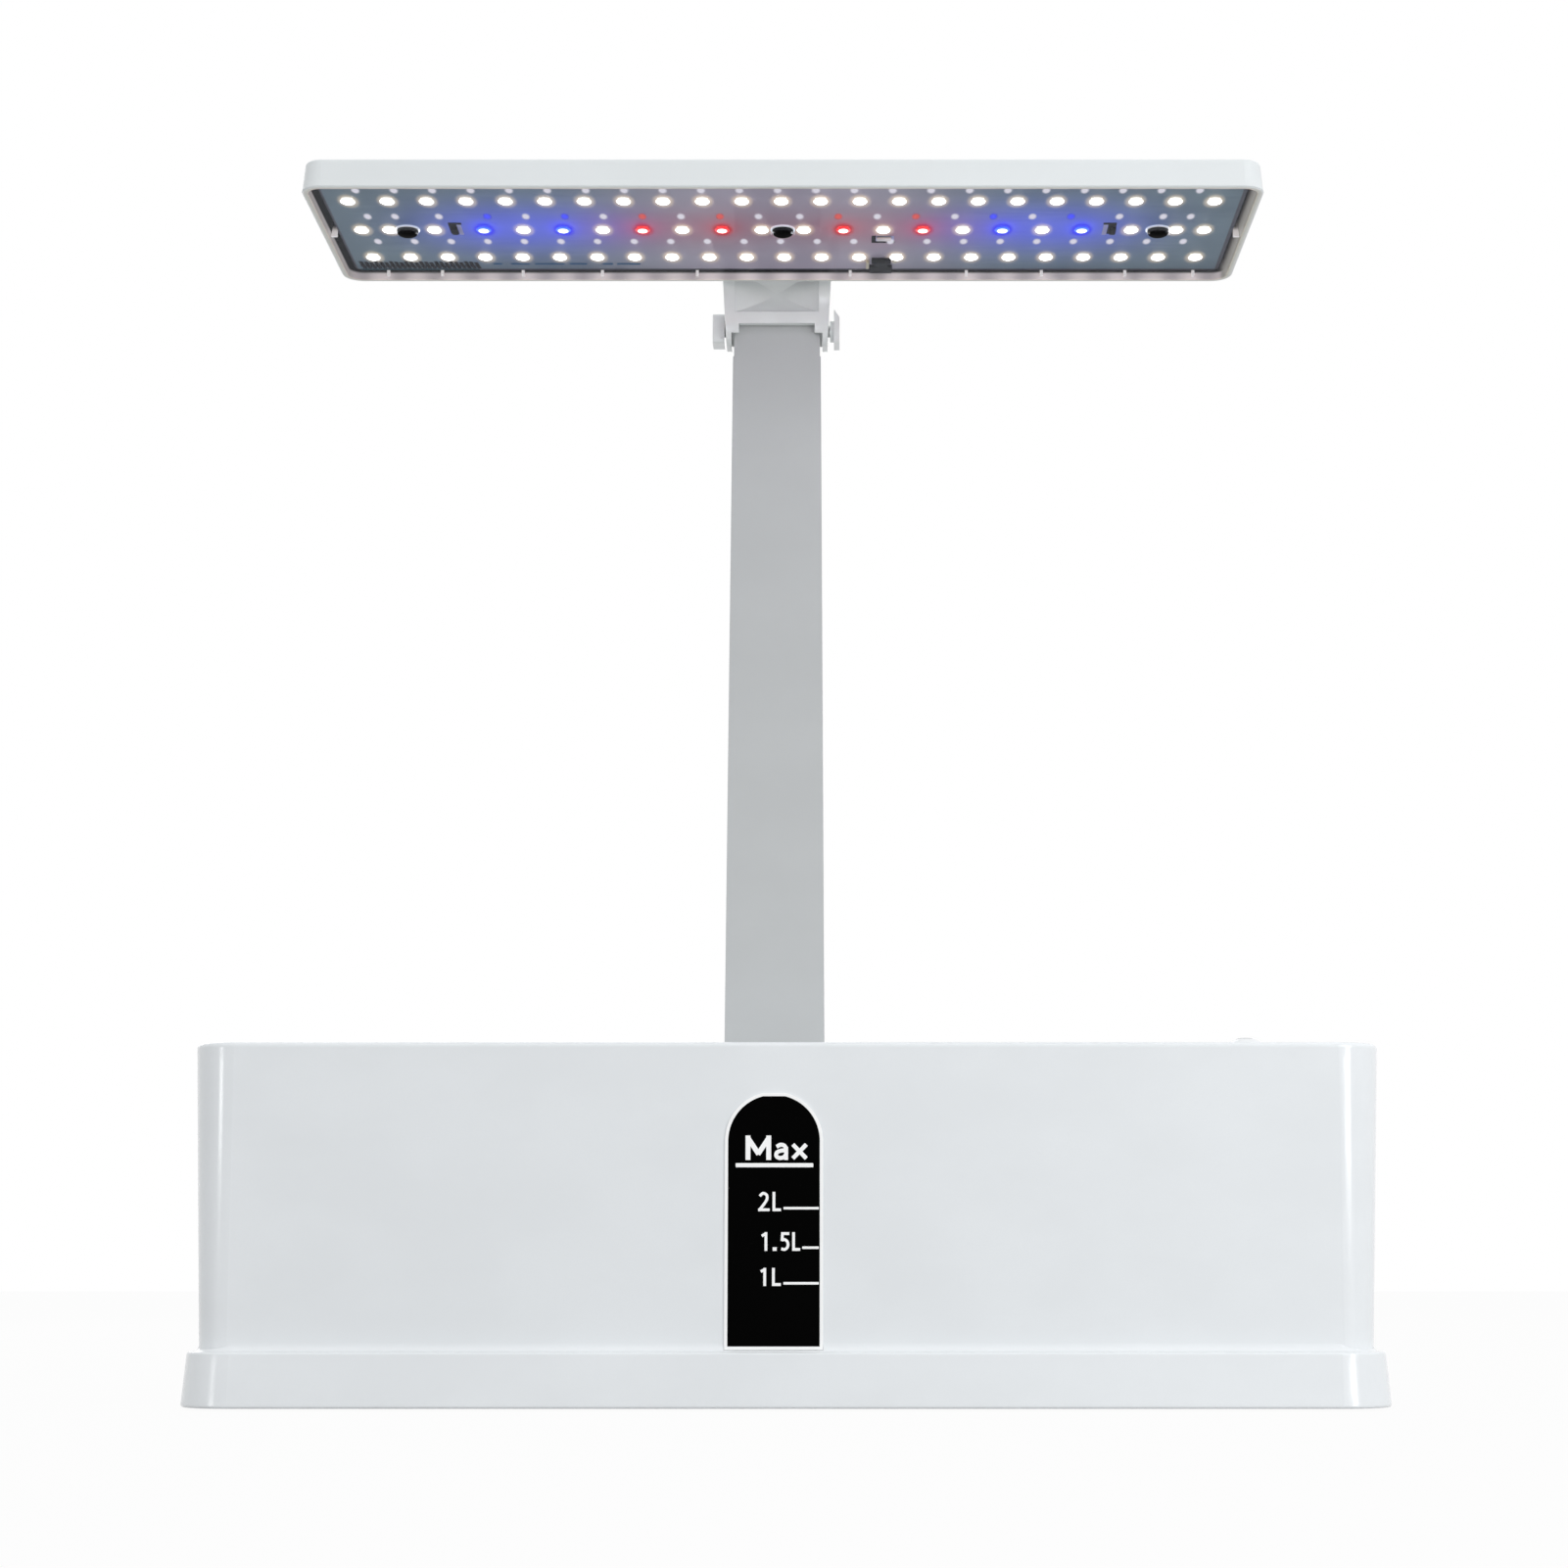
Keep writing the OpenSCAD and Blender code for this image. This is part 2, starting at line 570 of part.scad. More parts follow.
module pump_hanger() color("lightgray") {
    plate_z = socket_floor - socket_t - 2;
    hold_z = pump_z + 12;
    difference() {
        union() {
            translate([post_x - 20, post_y + 1, plate_z]) cube([40, post_d - 2, 2]);
            translate([post_x, pump_y, hold_z]) cylinder(r = pump_r + 2.6, h = 9);
            for (s = [-1, 1]) mirror_x(s) {
                translate([pump_r + 0.1, pump_y - 6, hold_z]) cube([2.4, 12, plate_z - hold_z + 1]);
                // gusset between the leg and the plate
                translate([pump_r + 0.1, pump_y + 1.2, 0]) front_plate(-1.2, 1.2)
                    polygon([[0.2, plate_z + 0.5], [-7, plate_z + 0.5], [0.2, plate_z - 9]]);
            }
        }
        translate([post_x, pump_y, hold_z - 1]) cylinder(r = pump_r + run_gap, h = 11);
        post_screw_places() translate([0, 0, plate_z - 1]) cylinder(r = 1.7, h = 4);
        lead_way() translate([0, 0, plate_z - 1]) cylinder(r = lead_way_r, h = 4);
    }
}

// Places a leg on the left (-1) or the right (1) of the post's middle plane
module mirror_x(s) {
    translate([post_x, 0, 0]) mirror([s < 0 ? 1 : 0, 0, 0]) children();
}

module pump_body() color("dimgray") translate([post_x, pump_y, 0]) difference() {
    union() {
        rotate_extrude() polygon(concat([[0, pump_z], [pump_r, pump_z]],
            arc(pump_r - 3, pump_top - 3, 3, 0, 90, 5), [[0, pump_top]]));
        translate([0, post_mid - pump_y, pump_top - 1]) cylinder(r = 3, h = 5);
    }
    // rotor well, open to the volute
    translate([0, 0, pump_z - 1]) cylinder(r = 6.5, h = 15);
    translate([0, post_mid - pump_y, pump_top - 4]) cylinder(r = 1.5, h = 10, $fn = 24);
}

module pump_impeller() color("white") translate([post_x, pump_y, 0]) {
    translate([0, 0, pump_z + 0.8]) cylinder(r = 6, h = 12);
    translate([0, 0, pump_z - 4.2]) cylinder(r = 2.4, h = 6);
    for (a = [0:72:288]) rotate([0, 0, a + 20]) translate([1.5, -0.6, pump_z - 4]) cube([8.5, 1.2, 3.7]);
}

module pump_cover() color("dimgray") translate([post_x, pump_y, 0]) difference() {
    union() {
        translate([0, 0, pump_z - 6]) cylinder(r = pump_r + 0.8, h = 6);
        translate([-pump_r - 11, port_y, port_z]) rotate([0, 90, 0]) cylinder(r = 2.9, h = 22, $fn = 48);
    }
    translate([0, 0, pump_z - 4.6]) cylinder(r = 11, h = 6);
    translate([-pump_r - 12, port_y, port_z]) rotate([0, 90, 0]) cylinder(r = 1.6, h = 20, $fn = 48);
    translate([0, 0, pump_z - 7]) cylinder(r = 4, h = 4);
}

// Strainer that the pump draws through: a shallow dish with a ring of slots
module pump_filter() color("gray") translate([post_x, pump_y, 0]) difference() {
    translate([0, 0, pump_z - 7.4]) cylinder(r = pump_r, h = 1.4);
    for (a = [0:30:330]) rotate([0, 0, a]) translate([6, -0.7, pump_z - 8]) cube([8, 1.4, 3]);
}

module pump_lead() color("black") translate([post_x, post_mid, pump_top - 3.5])
    cylinder(r = 1.45, h = jack_z - pump_top - 6, $fn = 24);

// ---- post ----

// How far a side of the post has moved in, and its back has moved forward, at a height
function post_narrow(z) = (post_w - post_top_w) / 2 * (z - post_z) / (post_top - post_z);
function post_shrink(z) = (post_back - post_top_back) * (z - post_z) / (post_top - post_z);

// Block of the post from z = lo to z = hi, its faces moved in by the given amounts
module post_block(side, front, back, lo, hi) {
    half_lo = post_w / 2 - side - post_narrow(lo);
    half_hi = post_w / 2 - side - post_narrow(hi);
    intersection() {
        translate([post_x, 0, 0]) front_plate(post_y - 1, post_back + 5)
            polygon([[-half_lo, lo], [half_lo, lo], [half_hi, hi], [-half_hi, hi]]);
        side_plate(post_x - post_w, post_x + post_w) polygon([
            [post_y + front, lo], [post_back - back - post_shrink(lo), lo],
            [post_back - back - post_shrink(hi), hi], [post_y + front, hi]]);
    }
}

module light_post() color([0.72, 0.73, 0.74]) difference() {
    union() {
        difference() {
            post_block(0, 0, 0, post_z, post_top);
            post_block(2, 2, -2, cover_lo + 2, cover_hi - 2);
            post_block(2.6, 2.4, 2.6, post_z + 5, cover_lo + 3);
            post_block(2.6, 2.4, 4, cover_hi - 4, post_top + 1);
            // rebate for the back cover
            back_layer(1, -2, cover_lo, cover_hi, cover_t + 0.1);
        }
        for (z = cover_screws) translate([cover_x, post_y + 1, z]) rotate([-90, 0, 0])
            cylinder(r = 2.6, h = post_depth(z) - cover_t - 1.3);
        // knuckle
        side_plate(post_x - 15.2, post_x + 15.2) polygon(concat(
            [[post_y, post_top - 1]], arc(pivot_y, pivot_z, knuckle_r, 180, 0, 24),
            [[post_top_back, post_top - 1]]));
    }
    // bore of the hinge bolt, the lead's way up and the screw holes
    translate([post_x - 20, pivot_y, pivot_z]) rotate([0, 90, 0]) cylinder(r = pin_r + run_gap, h = 40);
    side_plate(lead_x - 1.6, lead_x + 1.6) polygon([
        [pivot_y - 2, post_top - 14], [post_back, post_top - 14], [post_back, pivot_z + 10],
        [lead_y - 1.4, pivot_z + 10], [lead_y - 1.4, post_top + 4], [pivot_y - 2, post_top - 3]]);
    for (z = cover_screws) translate([cover_x, post_y + 3, z]) rotate([-90, 0, 0])
        cylinder(r = 0.95, h = 30, $fn = 24);
    post_screw_places() translate([0, 0, post_z - 1]) cylinder(r = 1.2, h = 5.5, $fn = 24);
    lead_way() translate([0, 0, post_z - 1]) cylinder(r = lead_way_r, h = 8);
}

// Layer of thickness t just inside the sloping back of the post
module back_layer(side, back, lo, hi, t) intersection() {
    post_block(side, 3, back, lo, hi);
    side_plate(post_x - post_w, post_x + post_w) polygon([
        [post_back - t - post_shrink(lo - 5), lo - 5], [post_back + 5, lo - 5],
        [post_back + 5, hi + 5], [post_back - t - post_shrink(hi + 5), hi + 5]]);
}

// Depth of the post at a height
function post_depth(z) = post_d - post_shrink(z);

module post_back_cover() color([0.72, 0.73, 0.74]) difference() {
    back_layer(1.1, 0, cover_lo + 0.1, cover_hi - 0.1, cover_t);
    for (z = cover_screws) translate([cover_x, post_y, z]) rotate([-90, 0, 0])
        cylinder(r = 1.2, h = 40, $fn = 24);
    translate([post_x, post_y, jack_z]) rotate([-90, 0, 0]) cylinder(r = 5.1, h = 40);
}

module post_screws() color("silver") {
    for (z = cover_screws) translate([cover_x, post_y + post_depth(z) + 0.12, z]) rotate([90, 0, 0])
        screw(0.9, 2.1, 1.2, 6);
    post_screw_places() translate([0, 0, socket_floor - socket_t - 2]) screw(1.1, 2.8, 1.8, 8.5);
}

// Power inlet: a barrel socket with its centre contact, behind the back cover
module dc_jack() color("black") translate([post_x, 0, jack_z]) {
    mouth = post_back + 0.6;
    inner = post_back - cover_t - 1.2;
    difference() {
        union() {
            translate([-5.5, inner - 9, -5.5]) cube([11, 9, 11]);
            translate([0, inner - 0.5, 0]) rotate([-90, 0, 0]) cylinder(r = 5, h = mouth - inner + 0.5);
        }
        translate([0, mouth - 9.5, 0]) rotate([-90, 0, 0]) cylinder(r = 3.2, h = 10);
    }
    translate([0, mouth - 10, 0]) rotate([-90, 0, 0]) cylinder(r = 1, h = 9, $fn = 24);
}

// Lead from the power inlet up to the hinge
module post_lead() color("black") lead(post_lead_route, 1.1);

// ---- hinge ----

module pivot_bolt() color([0.78, 0.79, 0.8]) {
    head = 4.2;
    out = ear_half(pivot_z + 5.3) + 0.05;
    translate([post_x - out - head, pivot_y, pivot_z]) rotate([0, 90, 0])
        cylinder(r = pin_r, h = 2 * out + head + 3, $fn = 48);
    difference() {
        side_plate(post_x - out - head, post_x - out) translate([pivot_y, pivot_z]) round_rect(9.5, 10.6, 1.2);
        translate([post_x - out - head - 1, pivot_y, pivot_z]) rotate([0, 90, 0]) cylinder(r = 2.6, h = 1.8);
    }
}

module friction_washers() color("white") for (s = [-1, 1]) mirror_x(s)
    translate([ear_in - 0.8, pivot_y, pivot_z]) rotate([0, 90, 0]) difference() {
        cylinder(r = knuckle_r - 0.2, h = 0.7);
        translate([0, 0, -1]) cylinder(r = pin_r + 0.08, h = 3);
    }

// Clamp knob: a hub on the end of the bolt with a flat wing whose top edge slants away
module tilt_knob() color([0.78, 0.79, 0.8]) {
    in = post_x + ear_half(pivot_z + 3.8) + slide_gap;
    difference() {
        union() {
            translate([in, pivot_y, pivot_z]) rotate([0, 90, 0]) cylinder(r = 3.8, h = 2.4);
            side_plate(in + 1.4, in + 3.4) translate([pivot_y, pivot_z])
                polygon([[-4.7, -5.3], [4.7, -5.3], [4.7, 5.2], [2.5, 6.8], [-4.7, 6.8]]);
        }
        translate([in - 1, pivot_y, pivot_z]) rotate([0, 90, 0]) cylinder(r = pin_r + run_gap, h = 6);
        // slant of the outer face towards the top
        translate([in + 3.4, pivot_y - 10, pivot_z + 4]) rotate([0, -35, 0]) cube([4, 20, 10]);
    }
}

// Half width of the yoke across its ears at a height
function ear_half(z) = 18.3 + 0.06 * (z - pivot_z);

// Hinge yoke: a flange on the lamp's roof, a dished front and two ears round the post's knuckle
module lamp_yoke() color([0.78, 0.79, 0.8]) translate([post_x, 0, 0]) {
    top = lamp_top + 0.05;
    ear_lo = pivot_z - ear_drop - 1;
    dish_lo = pivot_z + 3.8;
    dish_hi = top - 3;
    dish_w = 29.8;
    difference() {
        intersection() {
            front_plate(0, 70) polygon([
                [-ear_half(ear_lo), ear_lo], [ear_half(ear_lo), ear_lo],
                [ear_half(top), top + yoke_t], [-ear_half(top), top + yoke_t]]);
            side_plate(-30, 30) union() {
                translate([lamp_back - 22, top]) square([22, yoke_t]);
                translate([yoke_front, pivot_z]) square([2 * ear_r, top + yoke_t - pivot_z]);
                polygon(concat([[yoke_front, pivot_z + 1]],
                    arc(yoke_front + ear_drop, pivot_z, ear_drop, 180, 270, 12),
                    arc(pivot_y + ear_r - ear_drop, pivot_z, ear_drop, 270, 360, 12),
                    [[pivot_y + ear_r, pivot_z + 1]]));
                translate([lamp_back - 1, top]) square([10, yoke_t]);
                // neck that carries the lead into the lamp
                translate([lamp_back + 0.1, lamp_top - 7.4]) square([yoke_front - lamp_back + 1, 9]);
            }
        }
        // room for the knuckle between the ears, open below and behind
        side_plate(-ear_in, ear_in) union() {
            translate([pivot_y, pivot_z]) circle(knuckle_r + 0.6, $fn = 64);
            translate([pivot_y - knuckle_r - 0.6, pivot_z - 20]) square([30, 20]);
            translate([pivot_y, pivot_z - 1]) square([20, knuckle_r + 1.6]);
        }
        // opening below the front lip, between two short tabs
        side_plate(-13.4, 13.4) translate([yoke_front - 1, pivot_z - 20]) square([10, 20.4]);
        side_plate(-ear_in, ear_in) translate([yoke_front - 1, pivot_z - 20]) square([10, 17.2]);
        side_plate(-ear_in, ear_in) translate([yoke_front + 1.5, pivot_z - 20]) square([6, 20.4]);
        // dish: two crossed hollows whose meeting lines run corner to corner
        intersection() {
            translate([0, yoke_front + 4.4 - 9, (dish_lo + dish_hi) / 2])
                rotate([0, 90, 0]) cylinder(r = 9.4, h = 60, center = true, $fn = 96);
            translate([0, yoke_front + 4.4 - 27, 0]) cylinder(r = 27.4, h = 2 * top, $fn = 128);
            front_plate(yoke_front - 1, yoke_front + 8) polygon([[-dish_w / 2, dish_lo - 0.6],
                [dish_w / 2, dish_lo - 0.6], [dish_w / 2, dish_hi], [-dish_w / 2, dish_hi]]);
        }
        // bore of the bolt, and the lead's way from the knuckle up into the lamp
        translate([-30, pivot_y, pivot_z]) rotate([0, 90, 0]) cylinder(r = pin_r + run_gap, h = 60, $fn = 64);
        side_plate(lead_x - post_x - 2, lead_x - post_x + 2) polygon([
            [lead_y - 4, pivot_z], [lead_y + 1.6, pivot_z], [lead_y + 1.6, lamp_top - 4.6],
            [lead_y - 1, lamp_top - 1.8], [lamp_back - 1, lamp_top - 1.8], [lamp_back - 1, lamp_top - 5.8],
            [lead_y - 7, lamp_top - 5.8], [lead_y - 4, lamp_top - 8.4]]);
        yoke_screw_spots() translate([0, 0, top - 1]) cylinder(r = 1.6, h = 5, $fn = 24);
    }
}

module yoke_screw_spots() {
    for (x = [-12, 12], y = [-16, -6]) translate([x, lamp_back + y, 0]) children();
}

module yoke_screws() color("silver") translate([post_x, 0, 0]) yoke_screw_spots()
    translate([0, 0, lamp_top + yoke_t + 0.1]) mirror([0, 0, 1]) screw(1.1, 2.6, 1.5, 5.5);

// ---- lamp ----

module led_places(kind) {
    if (kind == "w") for (i = [-11:11], s = [-1, 1])
        translate([i * led_pitch, s * row_pitch, 0]) children();
    for (m = middle_row, s = [-1, 1]) if (m[0] == kind) translate([s * m[1] * led_pitch, 0, 0]) children();
}

module led_chips(kind, tint) color(tint) translate([board_x, lamp_y, board_under - led_h]) led_places(kind) {
    translate([-1.75, -1.4, 0]) cube([3.5, 2.8, led_h]);
}

// Inverted tray with drafted sides, a rolled top edge, bosses, ribs and three snap hooks
module lamp_housing() color("white") translate([lamp_x, 0, 0]) difference() {
    shift = board_x - lamp_x;
    union() {
        translate([0, lamp_y, 0]) {
            fold = 1.1;
            wall_sweep(lamp_w, lamp_d, lamp_r) polygon(concat(
                [[lamp_r - lamp_wall, rim_lamp], [lamp_r - 0.4, rim_lamp], [lamp_r, rim_lamp + 0.4],
                 [lamp_r - 0.3, rim_lamp + 2.4]],
                arc(lamp_r - lamp_lean - fold, lamp_top - fold, fold, 0, 90, 6),
                [[1, lamp_top], [1, lamp_top - lamp_wall],
                 [lamp_r - lamp_lean - lamp_wall, lamp_top - lamp_wall]]));
            slab(lamp_w - 10, lamp_d - 10, 3, lamp_top - lamp_wall, lamp_top);
            // pegs that carry the board
            for (x = [-peg_x, 0, peg_x]) translate([x + shift, peg_y, board_under + board_t]) difference() {
                cylinder(r = peg_r, h = lamp_top - 1 - board_under - board_t);
                translate([0, 0, -1]) cylinder(r = 1.3, h = 3.4, $fn = 24);
            }
            // small ribs round the edge, over the lens
            for (x = [-140, -121, -92.5, -64.5, -31, 23, 64, 90.5, 120, 144]) for (s = [-1, 1])
                translate([x + shift - 0.5, s * (lamp_d / 2 - 2.6) - 0.9, rim_lamp + 1.1])
                    cube([1, 1.8, lamp_h - 2.5]);
            for (s = [-1, 1]) translate([s * (lamp_w / 2 - 2.9) - 1.4, 3, rim_lamp + 1.1])
                cube([2.8, 1, lamp_h - 2.5]);
        }
        for (h = hooks) translate([h[0] + shift, lamp_y + peg_y + h[1], 0]) rotate([0, 0, h[2]]) {
            translate([-2.4, -0.6, board_under - 1.2]) cube([4.8, 1.2, lamp_top - board_under]);
            translate([-2.4, -1.3, board_under - 1.2]) cube([4.8, 1.9, 1]);
        }
    }
    // way in for the lead, behind the board
    translate([post_x - lamp_x + 4, lamp_back - 4, lamp_top - 5.6]) cube([8, 6, 3.4]);
    translate([post_x - lamp_x, 0, 0]) yoke_screw_spots() translate([0, 0, lamp_top - 3])
        cylinder(r = 1.2, h = 5, $fn = 24);
}

module led_board() color([0.45, 0.5, 0.58]) translate([board_x, lamp_y, 0]) difference() {
    translate([lamp_x - board_x, 0, 0]) slab(board_w, board_d, 3, board_under, board_under + board_t);
    for (x = [-peg_x, 0, peg_x]) translate([x, peg_y, board_under - 1]) cylinder(r = 1.7, h = 4, $fn = 32);
    for (h = hooks) translate([h[0], peg_y + h[1], 0]) rotate([0, 0, h[2]])
        translate([-2.8, -1.5, board_under - 1]) cube([5.6, 2.4, 4]);
    // row of narrow air slots along the back edge
    for (i = [0:vents - 1]) translate([vent_x + i * vent_pitch, 35.4, board_under - 1]) cube([0.9, 3.8, 4]);
    // notch for the lead
    translate([grommet_x - board_x - 4, board_d / 2 - 5.8, board_under - 1]) cube([8, 8, 4]);
}

module board_screws() color("black") translate([board_x, lamp_y + peg_y, board_under - washer_t - 0.05])
    for (x = [-peg_x, 0, peg_x]) translate([x, 0, 0]) screw(1.2, board_head_r, 2.4, 4);

module screw_washers() color("silver") translate([board_x, lamp_y + peg_y, board_under - washer_t])
    for (x = [-peg_x, 0, peg_x]) translate([x, 0, 0]) difference() {
        cylinder(r = board_head_r + 0.6, h = washer_t);
        translate([0, 0, -1]) cylinder(r = 1.5, h = 3, $fn = 32);
    }

// Clear sheet below the LEDs, with a hole round each screw head
module lamp_lens() color([0.9, 0.95, 1, 0.3]) translate([0, lamp_y, 0]) difference() {
    translate([lamp_x, 0, 0]) slab(lamp_w - 2 * lamp_wall - 0.4, lamp_d - 2 * lamp_wall - 0.4,
        lamp_r - lamp_wall - 0.2, rim_lamp + 0.2, rim_lamp + 1);
    for (x = [-peg_x, 0, peg_x]) translate([board_x + x, peg_y, rim_lamp])
        cylinder(r = board_head_r + 0.7, h = 2, $fn = 48);
}

module lead_grommet() color("black") translate([grommet_x, grommet_y, board_under - 1.1]) {
    translate([-3.8, 0, 0]) cube([7.6, 5.6, board_t + 2.8]);
    translate([0, -2, 0]) cylinder(r = 2.4, h = 1);
}

// Lead from the hinge to the board
module lamp_lead() color("black") lead(lamp_lead_route, 1.1);

// ---- nodes ----

base_tray();
rubber_feet();
water_tank();
gauge_window();
gauge_bezel();
gauge_seal();
pod_deck();
for (i = [0:8]) pod_basket(i);
for (i = [0:8]) pod_sponge(i);
control_box();
box_gasket();
control_board();
tact_switch();
box_screws();
power_button();
deck_harness();
pump_hanger();
pump_body();
pump_impeller();
pump_cover();
pump_filter();
pump_lead();
light_post();
post_back_cover();
post_screws();
dc_jack();
post_lead();
pivot_bolt();
friction_washers();
tilt_knob();
lamp_yoke();
yoke_screws();
lamp_housing();
led_board();
led_chips("w", "white");  // led_chips_white
led_chips("r", "red");  // led_chips_red
led_chips("b", "blue");  // led_chips_blue
board_screws();
screw_washers();
lamp_lens();
lead_grommet();
lamp_lead();
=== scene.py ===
import math
import random

import bmesh
import bpy
from mathutils import Matrix, Vector, noise


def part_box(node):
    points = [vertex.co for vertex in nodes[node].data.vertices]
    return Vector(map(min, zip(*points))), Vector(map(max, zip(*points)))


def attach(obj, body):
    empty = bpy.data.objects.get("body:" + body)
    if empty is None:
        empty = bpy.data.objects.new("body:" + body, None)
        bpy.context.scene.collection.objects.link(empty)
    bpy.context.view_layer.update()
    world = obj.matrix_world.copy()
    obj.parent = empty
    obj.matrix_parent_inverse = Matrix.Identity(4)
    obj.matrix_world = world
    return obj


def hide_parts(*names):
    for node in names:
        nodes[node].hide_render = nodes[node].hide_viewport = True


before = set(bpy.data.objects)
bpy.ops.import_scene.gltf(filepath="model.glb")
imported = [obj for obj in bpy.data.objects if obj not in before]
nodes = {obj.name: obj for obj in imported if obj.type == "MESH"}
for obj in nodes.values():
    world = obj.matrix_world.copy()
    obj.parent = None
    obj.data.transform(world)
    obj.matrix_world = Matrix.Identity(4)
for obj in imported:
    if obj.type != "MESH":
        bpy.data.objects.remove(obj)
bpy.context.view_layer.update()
mm = 0.001


class Value:                     # one socket of a node tree; arithmetic on it adds Math nodes
    def __init__(self, finish, socket):
        self.finish = finish
        self.socket = socket

    def maths(self, operation, *inputs):
        return self.finish.maths(operation, *inputs)

    def __add__(self, other):
        return self.maths("ADD", self, other)

    def __radd__(self, other):
        return self.maths("ADD", other, self)

    def __sub__(self, other):
        return self.maths("SUBTRACT", self, other)

    def __rsub__(self, other):
        return self.maths("SUBTRACT", other, self)

    def __mul__(self, other):
        return self.maths("MULTIPLY", self, other)

    def __pow__(self, other):
        return self.maths("POWER", self, other)

    def __rpow__(self, other):
        return self.maths("POWER", other, self)

    def __abs__(self):
        return self.maths("ABSOLUTE", self)


class Finish:                    # one material or world and the nodes in it
    def __init__(self, name, library=bpy.data.materials):
        self.holder = library.new(name)
        self.holder.use_nodes = True
        self.tree = self.holder.node_tree
        self.tree.nodes.clear()
        self.spot = None

    @property
    def place(self):
        self.spot = self.spot or self.node("ShaderNodeTexCoord", out="Object")
        return self.spot

    def node(self, kind, settings=None, inputs=None, out=0):
        made = self.tree.nodes.new(kind)
        for key, setting in (settings or {}).items():
            if key == "stops":
                self.setStops(made.color_ramp, setting)
            else:
                setattr(made, key, setting)
        for key, given in (inputs or {}).items():
            self.feed(made.inputs[key], given)
        return Value(self, made.outputs[out]) if made.outputs else None

    def maths(self, operation, *inputs):
        return self.node("ShaderNodeMath", {"operation": operation}, dict(enumerate(inputs)))

    def feed(self, socket, given):
        if isinstance(given, Value):
            self.tree.links.new(given.socket, socket)
        else:
            socket.default_value = given

    def setStops(self, ramp, stops):
        while len(ramp.elements) < len(stops):
            ramp.elements.new(1)
        for element, (position, colour) in zip(ramp.elements, stops):
            element.position = position
            element.color = colour

    # noise of a feature size in millimetres, stretched along the axes if asked
    def noise(self, size, detail=2.0, stretch=(1, 1, 1), rough=0.5):
        spot = self.node("ShaderNodeMapping", {"vector_type": "POINT"},
                         {"Vector": self.place, "Scale": stretch})
        return self.node("ShaderNodeTexNoise", None,
                         {"Vector": spot, "Scale": 1 / (size * mm), "Detail": detail, "Roughness": rough})

    # 0 below low, 1 above high
    def ramp(self, value, low, high):
        return self.node("ShaderNodeMapRange", {"interpolation_type": "SMOOTHSTEP"},
                         {"Value": value, "From Min": low, "From Max": high})

    def mix(self, factor, first, second, blend="MIX"):
        return self.node("ShaderNodeMix", {"data_type": "RGBA", "blend_type": blend},
                         {0: factor, 6: opaque(first), 7: opaque(second)}, out=2)

    # another output of the node behind a value
    def beside(self, value, output):
        return Value(self, value.socket.node.outputs[output])

    # distance from a point, in millimetres, with each axis scaled if asked
    def distance(self, centre, squash=(1, 1, 1)):
        offset = self.node("ShaderNodeVectorMath", {"operation": "SUBTRACT"},
                           {0: self.place, 1: centre})
        scaled = self.node("ShaderNodeVectorMath", {"operation": "MULTIPLY"},
                           {0: offset, 1: tuple(s / mm for s in squash)})
        return self.node("ShaderNodeVectorMath", {"operation": "LENGTH"}, {0: scaled}, out="Value")

    def axes(self):
        split = self.node("ShaderNodeSeparateXYZ", None, {"Vector": self.place})
        return [self.beside(split, axis) for axis in "XYZ"]

    # ends the tree in one Principled shader; bumps is a list of (value, depth in millimetres)
    def surface(self, sockets, bumps=()):
        normal = None
        for value, depth in bumps:
            inputs = {"Height": value, "Distance": depth * mm, "Strength": 1.0}
            if normal:
                inputs["Normal"] = normal
            normal = self.node("ShaderNodeBump", None, inputs)
        inputs = dict(sockets)
        if normal:
            inputs["Normal"] = normal
        shader = self.node("ShaderNodeBsdfPrincipled", None, inputs)
        self.node("ShaderNodeOutputMaterial", None, {"Surface": shader})
        return self.holder


def opaque(colour):
    if isinstance(colour, Value) or len(colour) == 4:
        return colour
    return (*colour, 1.0)


def rgb(red, green, blue, alpha=1.0):          # a colour picked on screen, 0 to 255
    def linear(level):
        level /= 255
        return level / 12.92 if level <= 0.04045 else ((level + 0.055) / 1.055) ** 2.4
    return (linear(red), linear(green), linear(blue), alpha)


def shade(colour, by):
    return (*(part * by for part in colour[:3]), 1.0)


# smooth moulded plastic: tone drifts a little, gloss varies, and the skin has a fine orange peel
def mouldedPlastic(name, colour, rough=0.28, drift=0.02, coat=0.0, specular=0.5):
    made = Finish(name)
    peel = 0.004
    flow = made.noise(38, detail=3, stretch=(1, 1, 1.6))
    fine = made.noise(0.55, detail=2)
    tone = made.mix(made.ramp(flow, 0.3, 0.7), shade(colour, 1 - drift), shade(colour, 1 + drift * 0.5))
    tone = made.mix(made.ramp(fine, 0.35, 0.75) * 0.25, tone, shade(colour, 0.97))
    handled = made.noise(14, detail=4)
    return made.surface(
        {"Base Color": tone,
         "Roughness": rough + (handled - 0.5) * 0.10 + (fine - 0.5) * 0.05,
         "Specular IOR Level": specular,
         "Coat Weight": coat, "Coat Roughness": 0.12},
        [(made.noise(1.6, detail=1), peel), (made.noise(9, detail=1), peel * 4)])


